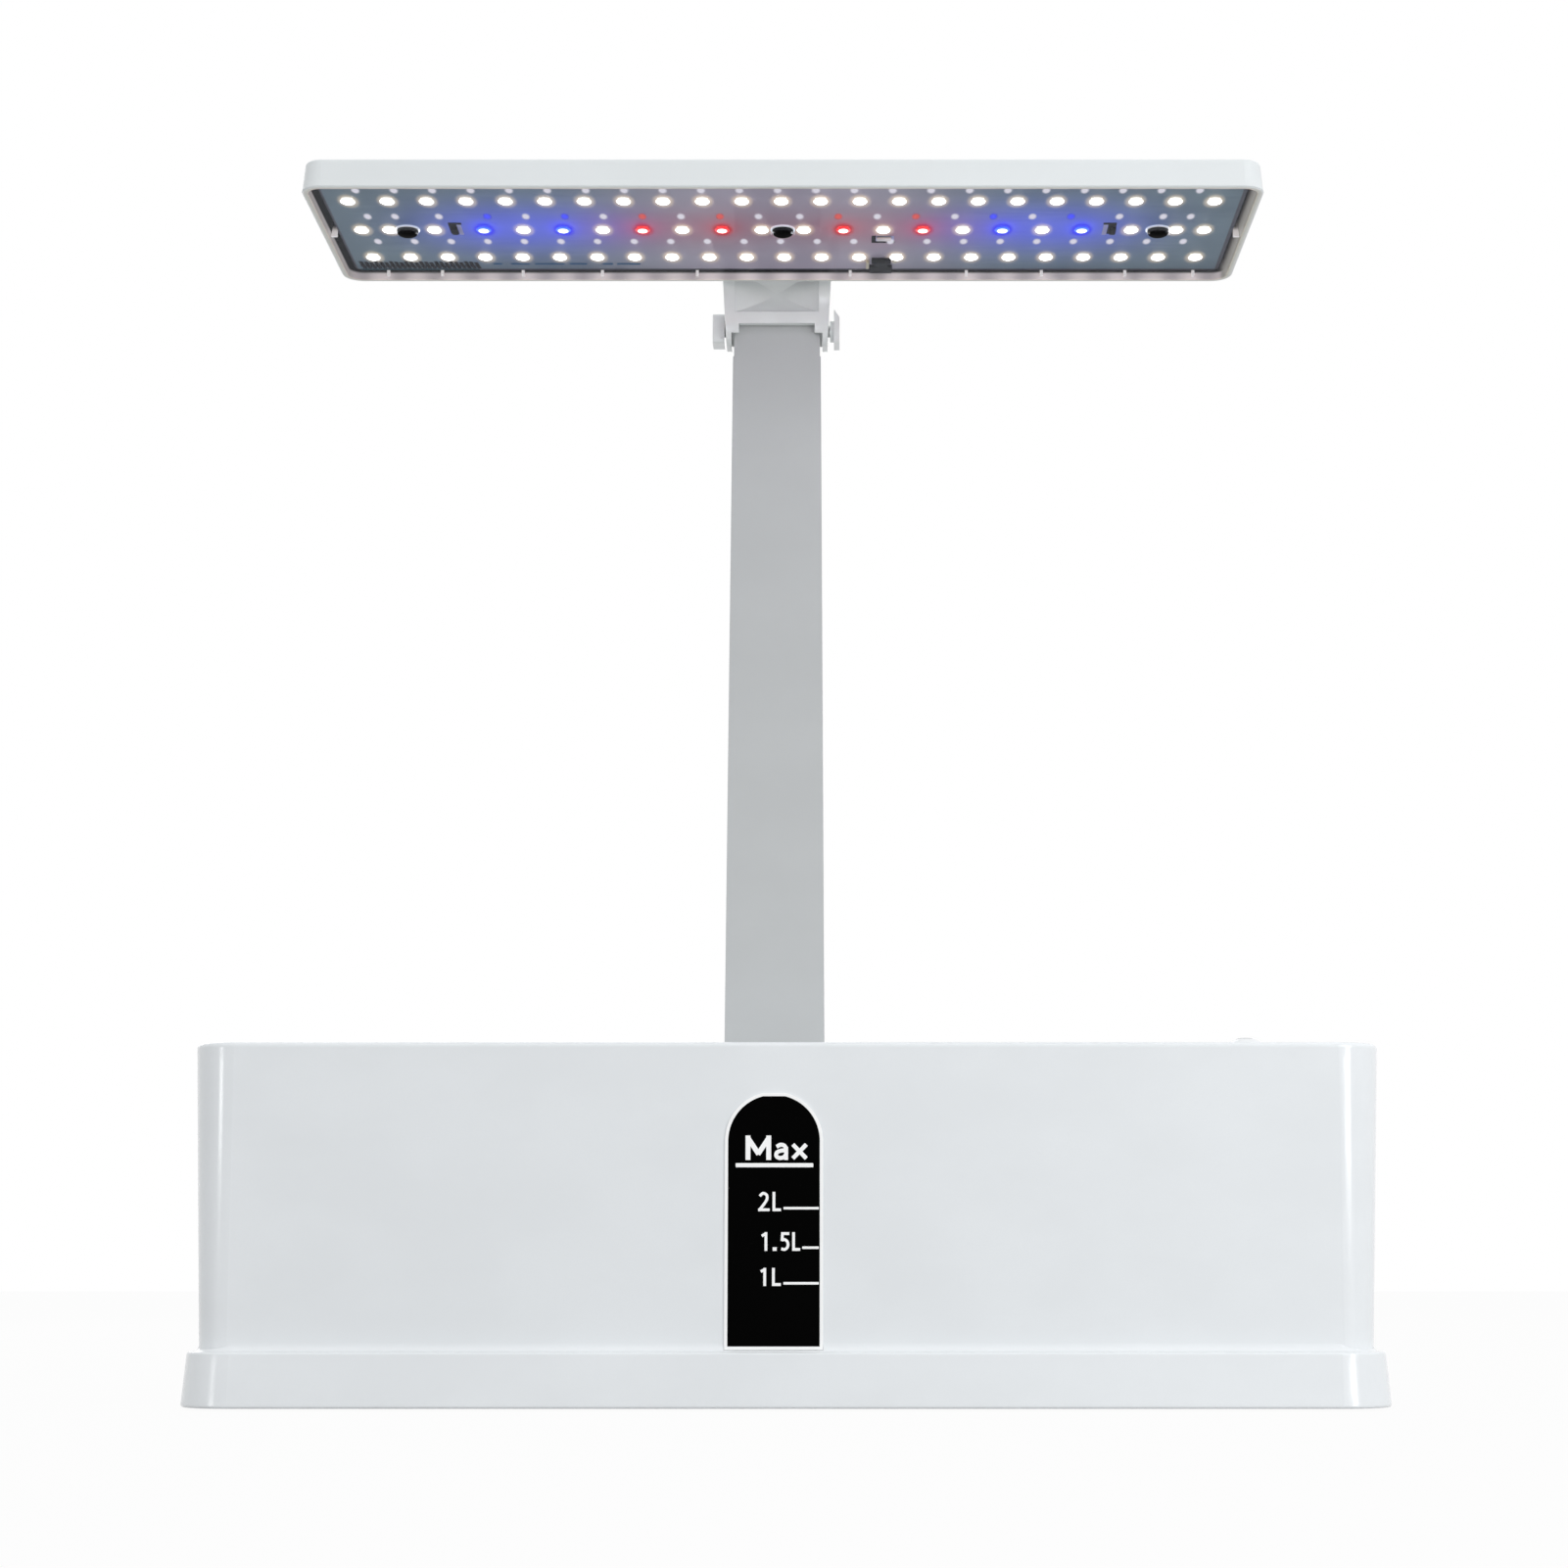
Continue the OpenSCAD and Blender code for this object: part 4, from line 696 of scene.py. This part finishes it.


# domed lens of every chip, a painted halo of glow round it and a painted reflection of it in the varnish
def chipLights(look):
    drop, sides = chipShape["drop"] * mm, chipShape["sides"]
    domes, paintedHalos, paintedReflections = bmesh.new(), bmesh.new(), bmesh.new()
    charts = [mesh.loops.layers.uv.new("spread") for mesh in (domes, paintedHalos, paintedReflections)]
    for low, high in islands(look["node"]):
        middle = (low + high) / 2
        dome = [(step / 6, low.z - drop * math.sqrt(max(0.0, 1 - (step / 6) ** 2.4)))
                for step in range(7)]
        discInto(domes, charts[0], middle, [part * mm for part in chipShape["radius"]], dome, sides,
                 closed=True)
        halo = [(step / 6, high.z - 0.03 * mm) for step in range(7)]
        place = (middle.x, middle.y + chipShape["haloBack"] * mm)
        discInto(paintedHalos, charts[1], place, [part * mm for part in chipShape["haloRadius"]], halo, sides)
        back, more = chipShape["echoBack"]
        place = (middle.x * chipShape["echoShrink"] + chipShape["echoShift"] * mm,
                 middle.y - (back + more * (middle.y - lampMiddle.y) / (27 * mm)) * mm)
        echo = [(step / 3, high.z - 0.05 * mm) for step in range(4)]
        discInto(paintedReflections, charts[2], place, [part * mm for part in chipShape["echoRadius"]], echo, sides)
    name = look["node"]
    glow = chipLight(name + " lens", look["core"], shade(look["rim"], 1 / look["strength"]),
                     look["strength"], look["width"])
    newPiece(name + "_lens", domes, "lamp_unit", look["slot"], glow, crease=60)
    halo = patchLight(name + " halo", look["halo"], look["haloLevel"], 0.45, look["hot"])
    newPiece(name + "_halo", paintedHalos, "lamp_unit", look["slot"], halo, keepNormals=True)
    echo = patchLight(name + " echo", look["echo"], 0.95, 0.4)
    newPiece(name + "_echo", paintedReflections, "lamp_unit", look["slot"], echo, keepNormals=True)


for look in chipLooks:
    chipLights(look)
print("lamp chips done")


# generic print along the board's back edge, painted shadow in the slots of its snap hooks, and the
# terminals of its lead
boardPrint = {"proud": 0.04, "teeth": (-152.1, 1.75, 24), "rows": (17.0, 24.4), "slant": 0.7,
              "toothWide": 1.35, "strip": (-152.6, -110.8, 24.7, 26.1),
              "dashes": [(-105.2, -102.1), (-99.0, -92.4), (-90.6, -80.2), (-78.4, -72.3), (-66.9, -63.2),
                         (-61.8, -53.6)],
              "dashRow": (18.8, 20.6),
              "hooks": [(-115.9, -113.2, -19.5, -10.5), (-115.9, -111.4, -21.2, -19.3),
                        (107.1, 109.8, -19.5, -10.5), (105.3, 109.8, -21.2, -19.3),
                        (27.2, 28.6, -8.6, -2.4), (27.2, 35.2, -3.4, -1.6)],
              "bars": [(-113.1, -111.7, -19.3, -9.6), (105.5, 107.0, -19.3, -9.6),
                       (28.7, 34.9, -8.4, -3.5)]}
boardFace = min(vert.co.z for vert in nodes["led_board"].data.vertices)


def underBoard(x, y, out):
    return Vector((x * mm, y * mm, boardFace - out * mm))


def patch(mesh, left, right, front, back, slant=0.0):
    slab(mesh, [(left, front), (right, front), (right + slant, back), (left + slant, back)],
         sunk, boardPrint["proud"], underBoard)


dark, teal, blue, pale = (bmesh.new() for colour in range(4))
left, pitch, count = boardPrint["teeth"]
front, back = boardPrint["rows"]
for tooth in range(count):
    start = left + tooth * pitch
    patch(dark, start, start + boardPrint["toothWide"], front + (tooth % 3) * 0.5, back,
          boardPrint["slant"])
# painted shadow: black patches where the snap hooks' slots lie in shade
for corners in boardPrint["hooks"]:
    patch(dark, *corners)
for corners in boardPrint["bars"]:
    patch(pale, *corners)
patch(teal, *boardPrint["strip"])
for left, right in boardPrint["dashes"]:
    patch(blue, left, right, *boardPrint["dashRow"])
# the dark piece holds both the printed teeth and the painted shadow of the hook slots
for name, mesh, colour in (("dark", dark, rgb(8, 5, 9)), ("teal", teal, rgb(20, 58, 68)),
                           ("blue", blue, rgb(52, 92, 128)), ("pale", pale, rgb(190, 186, 222))):
    newPiece("board_print_" + name, mesh, "lamp_unit", "black_plastic",
             mouldedPlastic(name + " board print", colour, rough=0.6, specular=0.03), crease=30)

terminal = {"housing": (27.4, 34.2, 13.3, 16.1), "foot": 388.5, "round": 0.25, "top": 389.98,
            "tongues": [(25.5, 26.6, 15.6, 22.2), (34.8, 36.0, 13.2, 16.2)], "tongueFoot": 388.9,
            "tongueRound": 0.2}


def terminalBlock(mesh, plan, foot, round):
    left, right, front, back = plan
    block(mesh, Vector((left, front, foot)) * mm, Vector((right, back, terminal["top"])) * mm, round * mm)


housings, tongues = bmesh.new(), bmesh.new()
terminalBlock(housings, terminal["housing"], terminal["foot"], terminal["round"])
for plan in terminal["tongues"]:
    terminalBlock(tongues, plan, terminal["tongueFoot"], terminal["tongueRound"])
newPiece("lead_terminal_body", housings, "lamp_unit", "black_plastic",
         mouldedPlastic("black terminal", rgb(3, 3, 4), rough=0.6, specular=0.03), crease=40)
newPiece("lead_terminal_tongues", tongues, "lamp_unit", "black_plastic",
         mouldedPlastic("beige terminal", rgb(206, 190, 160), rough=0.4), crease=40)
print("board print done")


# strokes of each letter in a unit box; a round stroke is smoothed
letters = {
    "M": [([(0, 0), (0, 1)], False), ([(0, 1), (0.5, 0.2), (1, 1)], False), ([(1, 1), (1, 0)], False)],
    "a": [([(0.1, 0.86), (0.42, 1.0), (0.78, 0.93), (0.93, 0.66)], True),
          ([(0.93, 0.7), (0.93, 0)], False),
          ([(0.93, 0.58), (0.5, 0.56), (0.1, 0.42), (0.06, 0.14), (0.36, 0.0), (0.74, 0.08), (0.93, 0.3)],
           True)],
    "x": [([(0, 1), (1, 0)], False), ([(0, 0), (1, 1)], False)],
    "2": [([(0.04, 0.84), (0.38, 1.0), (0.8, 0.9), (0.84, 0.64), (0.5, 0.34), (0.04, 0.02)], True),
          ([(0, 0), (1, 0)], False)],
    "L": [([(0, 1), (0, 0), (1, 0)], False)],
    "1": [([(0, 0.86), (0.8, 1), (0.8, 0)], False)],
    ".": [([(0.2, 0), (0.8, 0)], False)],
    "5": [([(0.96, 1), (0.16, 1), (0.1, 0.56)], False),
          ([(0.1, 0.58), (0.5, 0.62), (0.92, 0.46), (0.94, 0.18), (0.52, 0.0), (0.02, 0.04)], True)],
}
# every letter as (sign, left, right, foot, head, thickness), a line as (left, right, level, thickness)
gauge = {"proud": 0.05, "step": 0.006, "front": (-67.30, 110.59), "slope": -0.04015,
         "signs": [("M", -12.36, -4.55, 74.7, 82.1, 1.5), ("a", -3.75, 0.85, 74.7, 79.9, 1.2),
                   ("x", 1.55, 6.65, 74.7, 79.9, 1.25),
                   ("2", -8.45, -4.95, 59.3, 65.1, 0.85), ("L", -4.1, -1.5, 59.3, 65.1, 0.85),
                   ("1", -7.65, -5.35, 47.4, 53.0, 0.85), (".", -4.05, -2.75, 47.4, 48.6, 1.1),
                   ("5", -1.8, 1.1, 47.4, 53.0, 0.85), ("L", 1.9, 4.35, 47.4, 53.0, 0.85),
                   ("1", -7.9, -5.7, 36.9, 42.3, 0.85), ("L", -4.2, -1.5, 36.9, 42.3, 0.85)],
         "lines": [(-15.35, 8.3, 73.15, 1.25), (-0.75, 10.0, 60.2, 0.75),
                   (4.95, 10.0, 48.35, 0.75), (-0.75, 10.0, 37.7, 0.75)]}


# a point of the leaning panel, given across, up and out of it, in millimetres
def onGauge(across, up, out):
    depth, level = gauge["front"]
    return Vector((across, depth + gauge["slope"] * (up - level) - out, up)) * mm


# points along a smooth line through the given ones
def softened(path, steps=5):
    padded = [path[0], *path, path[-1]]
    line = []
    for a, b, c, d in zip(padded, padded[1:], padded[2:], padded[3:]):
        slope, bend, twist = c - a, a * 2 - b * 5 + c * 4 - d, b * 3 - a - c * 3 + d
        line += [b + (slope * t + bend * t ** 2 + twist * t ** 3) / 2
                 for t in (step / steps for step in range(steps))]
    return line + [path[-1]]


# a ribbon of even width along a path, its ends drawn out a little
def ribbon(path, thick, longer):
    path = [path[0] + (path[0] - path[1]).normalized() * longer, *path[1:-1],
            path[-1] + (path[-1] - path[-2]).normalized() * longer]
    sides = ([], [])
    for before, spot, after in zip([None, *path], path, [*path[1:], None]):
        legs = [end - start for start, end in ((before, spot), (spot, after)) if start and end]
        way = sum((leg.normalized() for leg in legs), Vector((0, 0))).normalized()
        across = Vector((-way.y, way.x))
        for side, turn in zip(sides, (1, -1)):
            side.append(spot + across * turn * thick / 2)
    return [*sides[0], *reversed(sides[1])]


def strokeLetter(mesh, sign, left, right, low, high, thick):
    proud = gauge["proud"]               # each stroke stands prouder than the last: no shared faces
    wide, tall = right - left - thick, high - low - thick
    for points, smooth in letters[sign]:
        path = [Vector((left + thick / 2 + across * wide, low + thick / 2 + up * tall))
                for across, up in points]
        if smooth:
            slab(mesh, ribbon(softened(path), thick, 0.1 * thick), sunk, proud, onGauge)
            proud += gauge["step"]
            continue
        for start, end in zip(path, path[1:]):
            square = 0 in (start.x - end.x, start.y - end.y)
            longer = thick * (0.5 if square else 0.15)
            slab(mesh, ribbon([start, end], thick, longer), sunk, proud, onGauge)
            proud += gauge["step"]


marks = bmesh.new()
for sign in gauge["signs"]:
    strokeLetter(marks, *sign)
for left, right, level, thick in gauge["lines"]:
    half, soft = thick / 2, thick * 0.18
    corners = [(right - soft, level - half + soft, -90), (right - soft, level + half - soft, 0),
               (left + soft, level + half - soft, 90), (left + soft, level - half + soft, 180)]
    outline = [(middle + soft * math.cos(math.radians(start + step * 30)),
                height + soft * math.sin(math.radians(start + step * 30)))
               for middle, height, start in corners for step in range(4)]
    slab(marks, outline, sunk, gauge["proud"], onGauge)
newPiece("gauge_marks", marks, "tank_unit", "white_trim", crease=50)
print("gauge marks done")


sponge = {"sides": 72, "levels": 46, "lumps": 2.3, "rough": 0.55, "topRough": 0.7, "footRough": 0.4,
          "slit": 2.6, "slitDepth": 7.0}


def peatFinish(name):
    made = Finish(name)
    fibre = made.noise(0.7, detail=5, stretch=(1, 1, 0.4), rough=0.7)
    crumb = made.noise(2.2, detail=4, rough=0.65)
    pores = made.node("ShaderNodeTexVoronoi", {"feature": "F1"},
                      {"Vector": made.place, "Scale": 1 / (1.3 * mm)}, out="Distance")
    tone = made.mix(made.ramp(crumb, 0.35, 0.65), rgb(46, 30, 20), rgb(92, 66, 44))
    tone = made.mix(made.ramp(fibre, 0.58, 0.75) * 0.6, tone, rgb(150, 118, 82))
    tone = made.mix((1 - made.ramp(pores, 0.08, 0.3)) * 0.7, tone, rgb(20, 13, 9))
    return made.surface({"Base Color": tone, "Roughness": 0.88 + (fibre - 0.5) * 0.15},
                        [(crumb, 0.5), (fibre, 0.25), (pores, 0.3)])


peat = peatFinish("peat sponge")
for number in range(1, 10):
    node = f"pod_sponge_{number}"
    low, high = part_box(node)
    middle = (low + high) / 2
    reach = {}
    for vert in nodes[node].data.vertices:
        level = round(vert.co.z / mm, 1)
        reach[level] = max(reach.get(level, 0), math.hypot(vert.co.x - middle.x, vert.co.y - middle.y))
    heights = sorted(reach)
    random.seed(number)
    drift = Vector((random.uniform(-9, 9), random.uniform(-9, 9), random.uniform(-9, 9)))

    def radiusAt(level):
        for lower, upper in zip(heights, heights[1:]):
            if lower <= level <= upper:
                part = (level - lower) / max(upper - lower, 1e-6)
                return reach[lower] * (1 - part) + reach[upper] * part
        return reach[heights[-1]]

    mesh = bmesh.new()
    bottom, top = heights[0], heights[-1]
    path = [(0.0, bottom)] + [(radiusAt(bottom) * part, bottom) for part in (0.3, 0.6, 0.85)]
    path += [(radiusAt(bottom + (top - bottom) * step / sponge["levels"]),
              bottom + (top - bottom) * step / sponge["levels"]) for step in range(sponge["levels"] + 1)]
    rim = radiusAt(top)
    path += [(rim * part, top) for part in (0.94, 0.84, 0.72, 0.6, 0.48, 0.38)]
    path += [(sponge["slit"] * mm, top), (sponge["slit"] * 0.7 * mm, top - sponge["slitDepth"] * 0.5),
             (0.0, top - sponge["slitDepth"])]
    rings = lathe(mesh, [(radius, level * mm) for radius, level in path],
                  Matrix.Translation((middle.x, middle.y, 0)), sponge["sides"])
    for ring in rings:
        for vert in ring:
            spot = vert.co / (sponge["lumps"] * mm) + drift
            lump = (noise.noise(spot) + 0.5 * noise.noise(spot * 2.3)) * 0.5 + 0.5
            inward = Vector((middle.x - vert.co.x, middle.y - vert.co.y, 0))
            distance = inward.length
            if distance > 1e-6:
                vert.co += inward / distance * lump * sponge["rough"] * mm
            if vert.co.z > top * mm - 0.01 * mm:
                vert.co.z -= lump * sponge["topRough"] * mm
            elif vert.co.z < bottom * mm + 0.01 * mm:
                vert.co.z += lump * sponge["footRough"] * mm
    plug = newPiece(f"grow_sponge_{number}", mesh, f"pod_{number}", "grow_sponge", peat, crease=80)
    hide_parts(node)
print("sponges done")


symbol = {"radius": 2.3, "thick": 0.45, "gap": 62, "steps": 40, "bar": (0.7, 3.1), "proud": 0.03,
          "domeTop": 113.1, "domeRadius": 9.913, "centre": (142.7, -50)}


def onButton(across, up, out):
    drop = math.sqrt(symbol["domeRadius"] ** 2 - across ** 2 - up ** 2)
    x, y = symbol["centre"]
    return Vector((x + across, y + up, symbol["domeTop"] - symbol["domeRadius"] + drop + out)) * mm


mesh = bmesh.new()
steps = symbol["steps"]
start = 90 + symbol["gap"] / 2
sweep = 360 - symbol["gap"]
inner = symbol["radius"] - symbol["thick"] / 2
outer = symbol["radius"] + symbol["thick"] / 2
angles = [math.radians(start + sweep * step / steps) for step in range(steps + 1)]
outline = [(outer * math.cos(angle), outer * math.sin(angle)) for angle in angles]
outline += [(inner * math.cos(angle), inner * math.sin(angle)) for angle in reversed(angles)]
half = len(outline)
bottom = [mesh.verts.new(onButton(x, y, sunk)) for x, y in outline]
top = [mesh.verts.new(onButton(x, y, symbol["proud"])) for x, y in outline]
for first in range(steps):
    second = first + 1
    last, previous = half - 1 - first, half - 2 - first
    mesh.faces.new((top[first], top[second], top[previous], top[last]))
    mesh.faces.new((bottom[last], bottom[previous], bottom[second], bottom[first]))
for first in range(half):
    second = (first + 1) % half
    mesh.faces.new((bottom[first], bottom[second], top[second], top[first]))
wide = symbol["thick"] / 2
low, high = symbol["bar"]
slab(mesh, [(-wide, low), (wide, low), (wide, high), (-wide, high)], sunk, symbol["proud"], onButton)
newPiece("button_symbol", mesh, "button", "grey_hinge",
         mouldedPlastic("grey symbol print", rgb(120, 126, 130), rough=0.5), crease=50)
print("button symbol done")


# the lens stands low in front of the object and looks up a little
camera = {"lens": 67.46, "sensor": 36, "shift": -0.0359, "place": (0.0165, -0.967, 0.0406), "tilt": 9.46}
view = bpy.data.cameras.new("camera")
view.lens = camera["lens"]
view.sensor_width = camera["sensor"]
view.shift_x = camera["shift"]
view.clip_start = 0.01
view.clip_end = 50
eye = bpy.data.objects.new("camera", view)
bpy.context.scene.collection.objects.link(eye)
eye.location = camera["place"]
eye.rotation_euler = (math.radians(90 + camera["tilt"]), 0, 0)
bpy.context.scene.camera = eye
print("camera done")
bpy.context.scene.view_settings.view_transform = "Standard"


studio = {"soft": 0.78, "floor": (0.5, 0.5, 0.5, 1), "floorGlow": 0.96,
          "lamps": [("streakRight", (0.549, -0.651, 0.125), (0.17, -0.06, 0.10), (0.14, 0.19), 0.62),
                    ("streakLeft", (-0.867, -0.78, 0.08), (-0.17, -0.06, 0.10), (0.16, 0.06), 0.38),
                    ("front", (0.75, -1.05, 0.62), (0.02, -0.05, 0.2), (0.7, 0.7), 4.6),
                    ("top", (0.1, -0.4, 1.7), (0, 0, 0.2), (1.4, 1.2), 2.2),
                    ("back", (-0.5, 1.5, 0.9), (0, 0, 0.2), (1.2, 1.0), 3.6)]}


# 1 where the camera, a gloss or a clear sheet looks at it, 0 where it only lights the object
def seenWhite(made):
    direct = made.node("ShaderNodeLightPath", out="Is Camera Ray")
    gloss = made.maths("MAXIMUM", made.beside(direct, "Is Glossy Ray"),
                       made.beside(direct, "Is Transmission Ray"))
    return made.maths("MAXIMUM", direct, gloss)


room = Finish("studio", bpy.data.worlds)
bpy.context.scene.world = room.holder
level = seenWhite(room) * (1 - studio["soft"]) + studio["soft"]
shine = room.node("ShaderNodeBackground", None, {"Color": (1, 1, 1, 1), "Strength": level})
room.node("ShaderNodeOutputWorld", None, {"Surface": shine})

paper = Finish("white sweep")
matt = paper.node("ShaderNodeBsdfDiffuse", None, {"Color": studio["floor"]})
bright = paper.node("ShaderNodeEmission", None, {"Color": (1, 1, 1, 1), "Strength": 1.0})
glow = seenWhite(paper) * studio["floorGlow"]
sheet = paper.node("ShaderNodeMixShader", None, {0: glow, 1: matt, 2: bright})
paper.node("ShaderNodeOutputMaterial", None, {"Surface": sheet})
mesh = bmesh.new()
bmesh.ops.create_grid(mesh, x_segments=8, y_segments=8, size=6)
data = bpy.data.meshes.new("floor")
mesh.to_mesh(data)
mesh.free()
data.materials.append(paper.holder)
floor = bpy.data.objects.new("floor", data)
floor.location = (0, 0, -0.0002)
bpy.context.scene.collection.objects.link(floor)

for name, place, target, size, power in studio["lamps"]:
    light = bpy.data.lights.new(name, "AREA")
    light.shape = "RECTANGLE"
    light.size, light.size_y = size
    light.energy = power
    lamp = bpy.data.objects.new(name, light)
    bpy.context.scene.collection.objects.link(lamp)
    lamp.location = place
    lamp.rotation_euler = (Vector(target) - Vector(place)).to_track_quat("-Z", "Y").to_euler()

print("studio done")
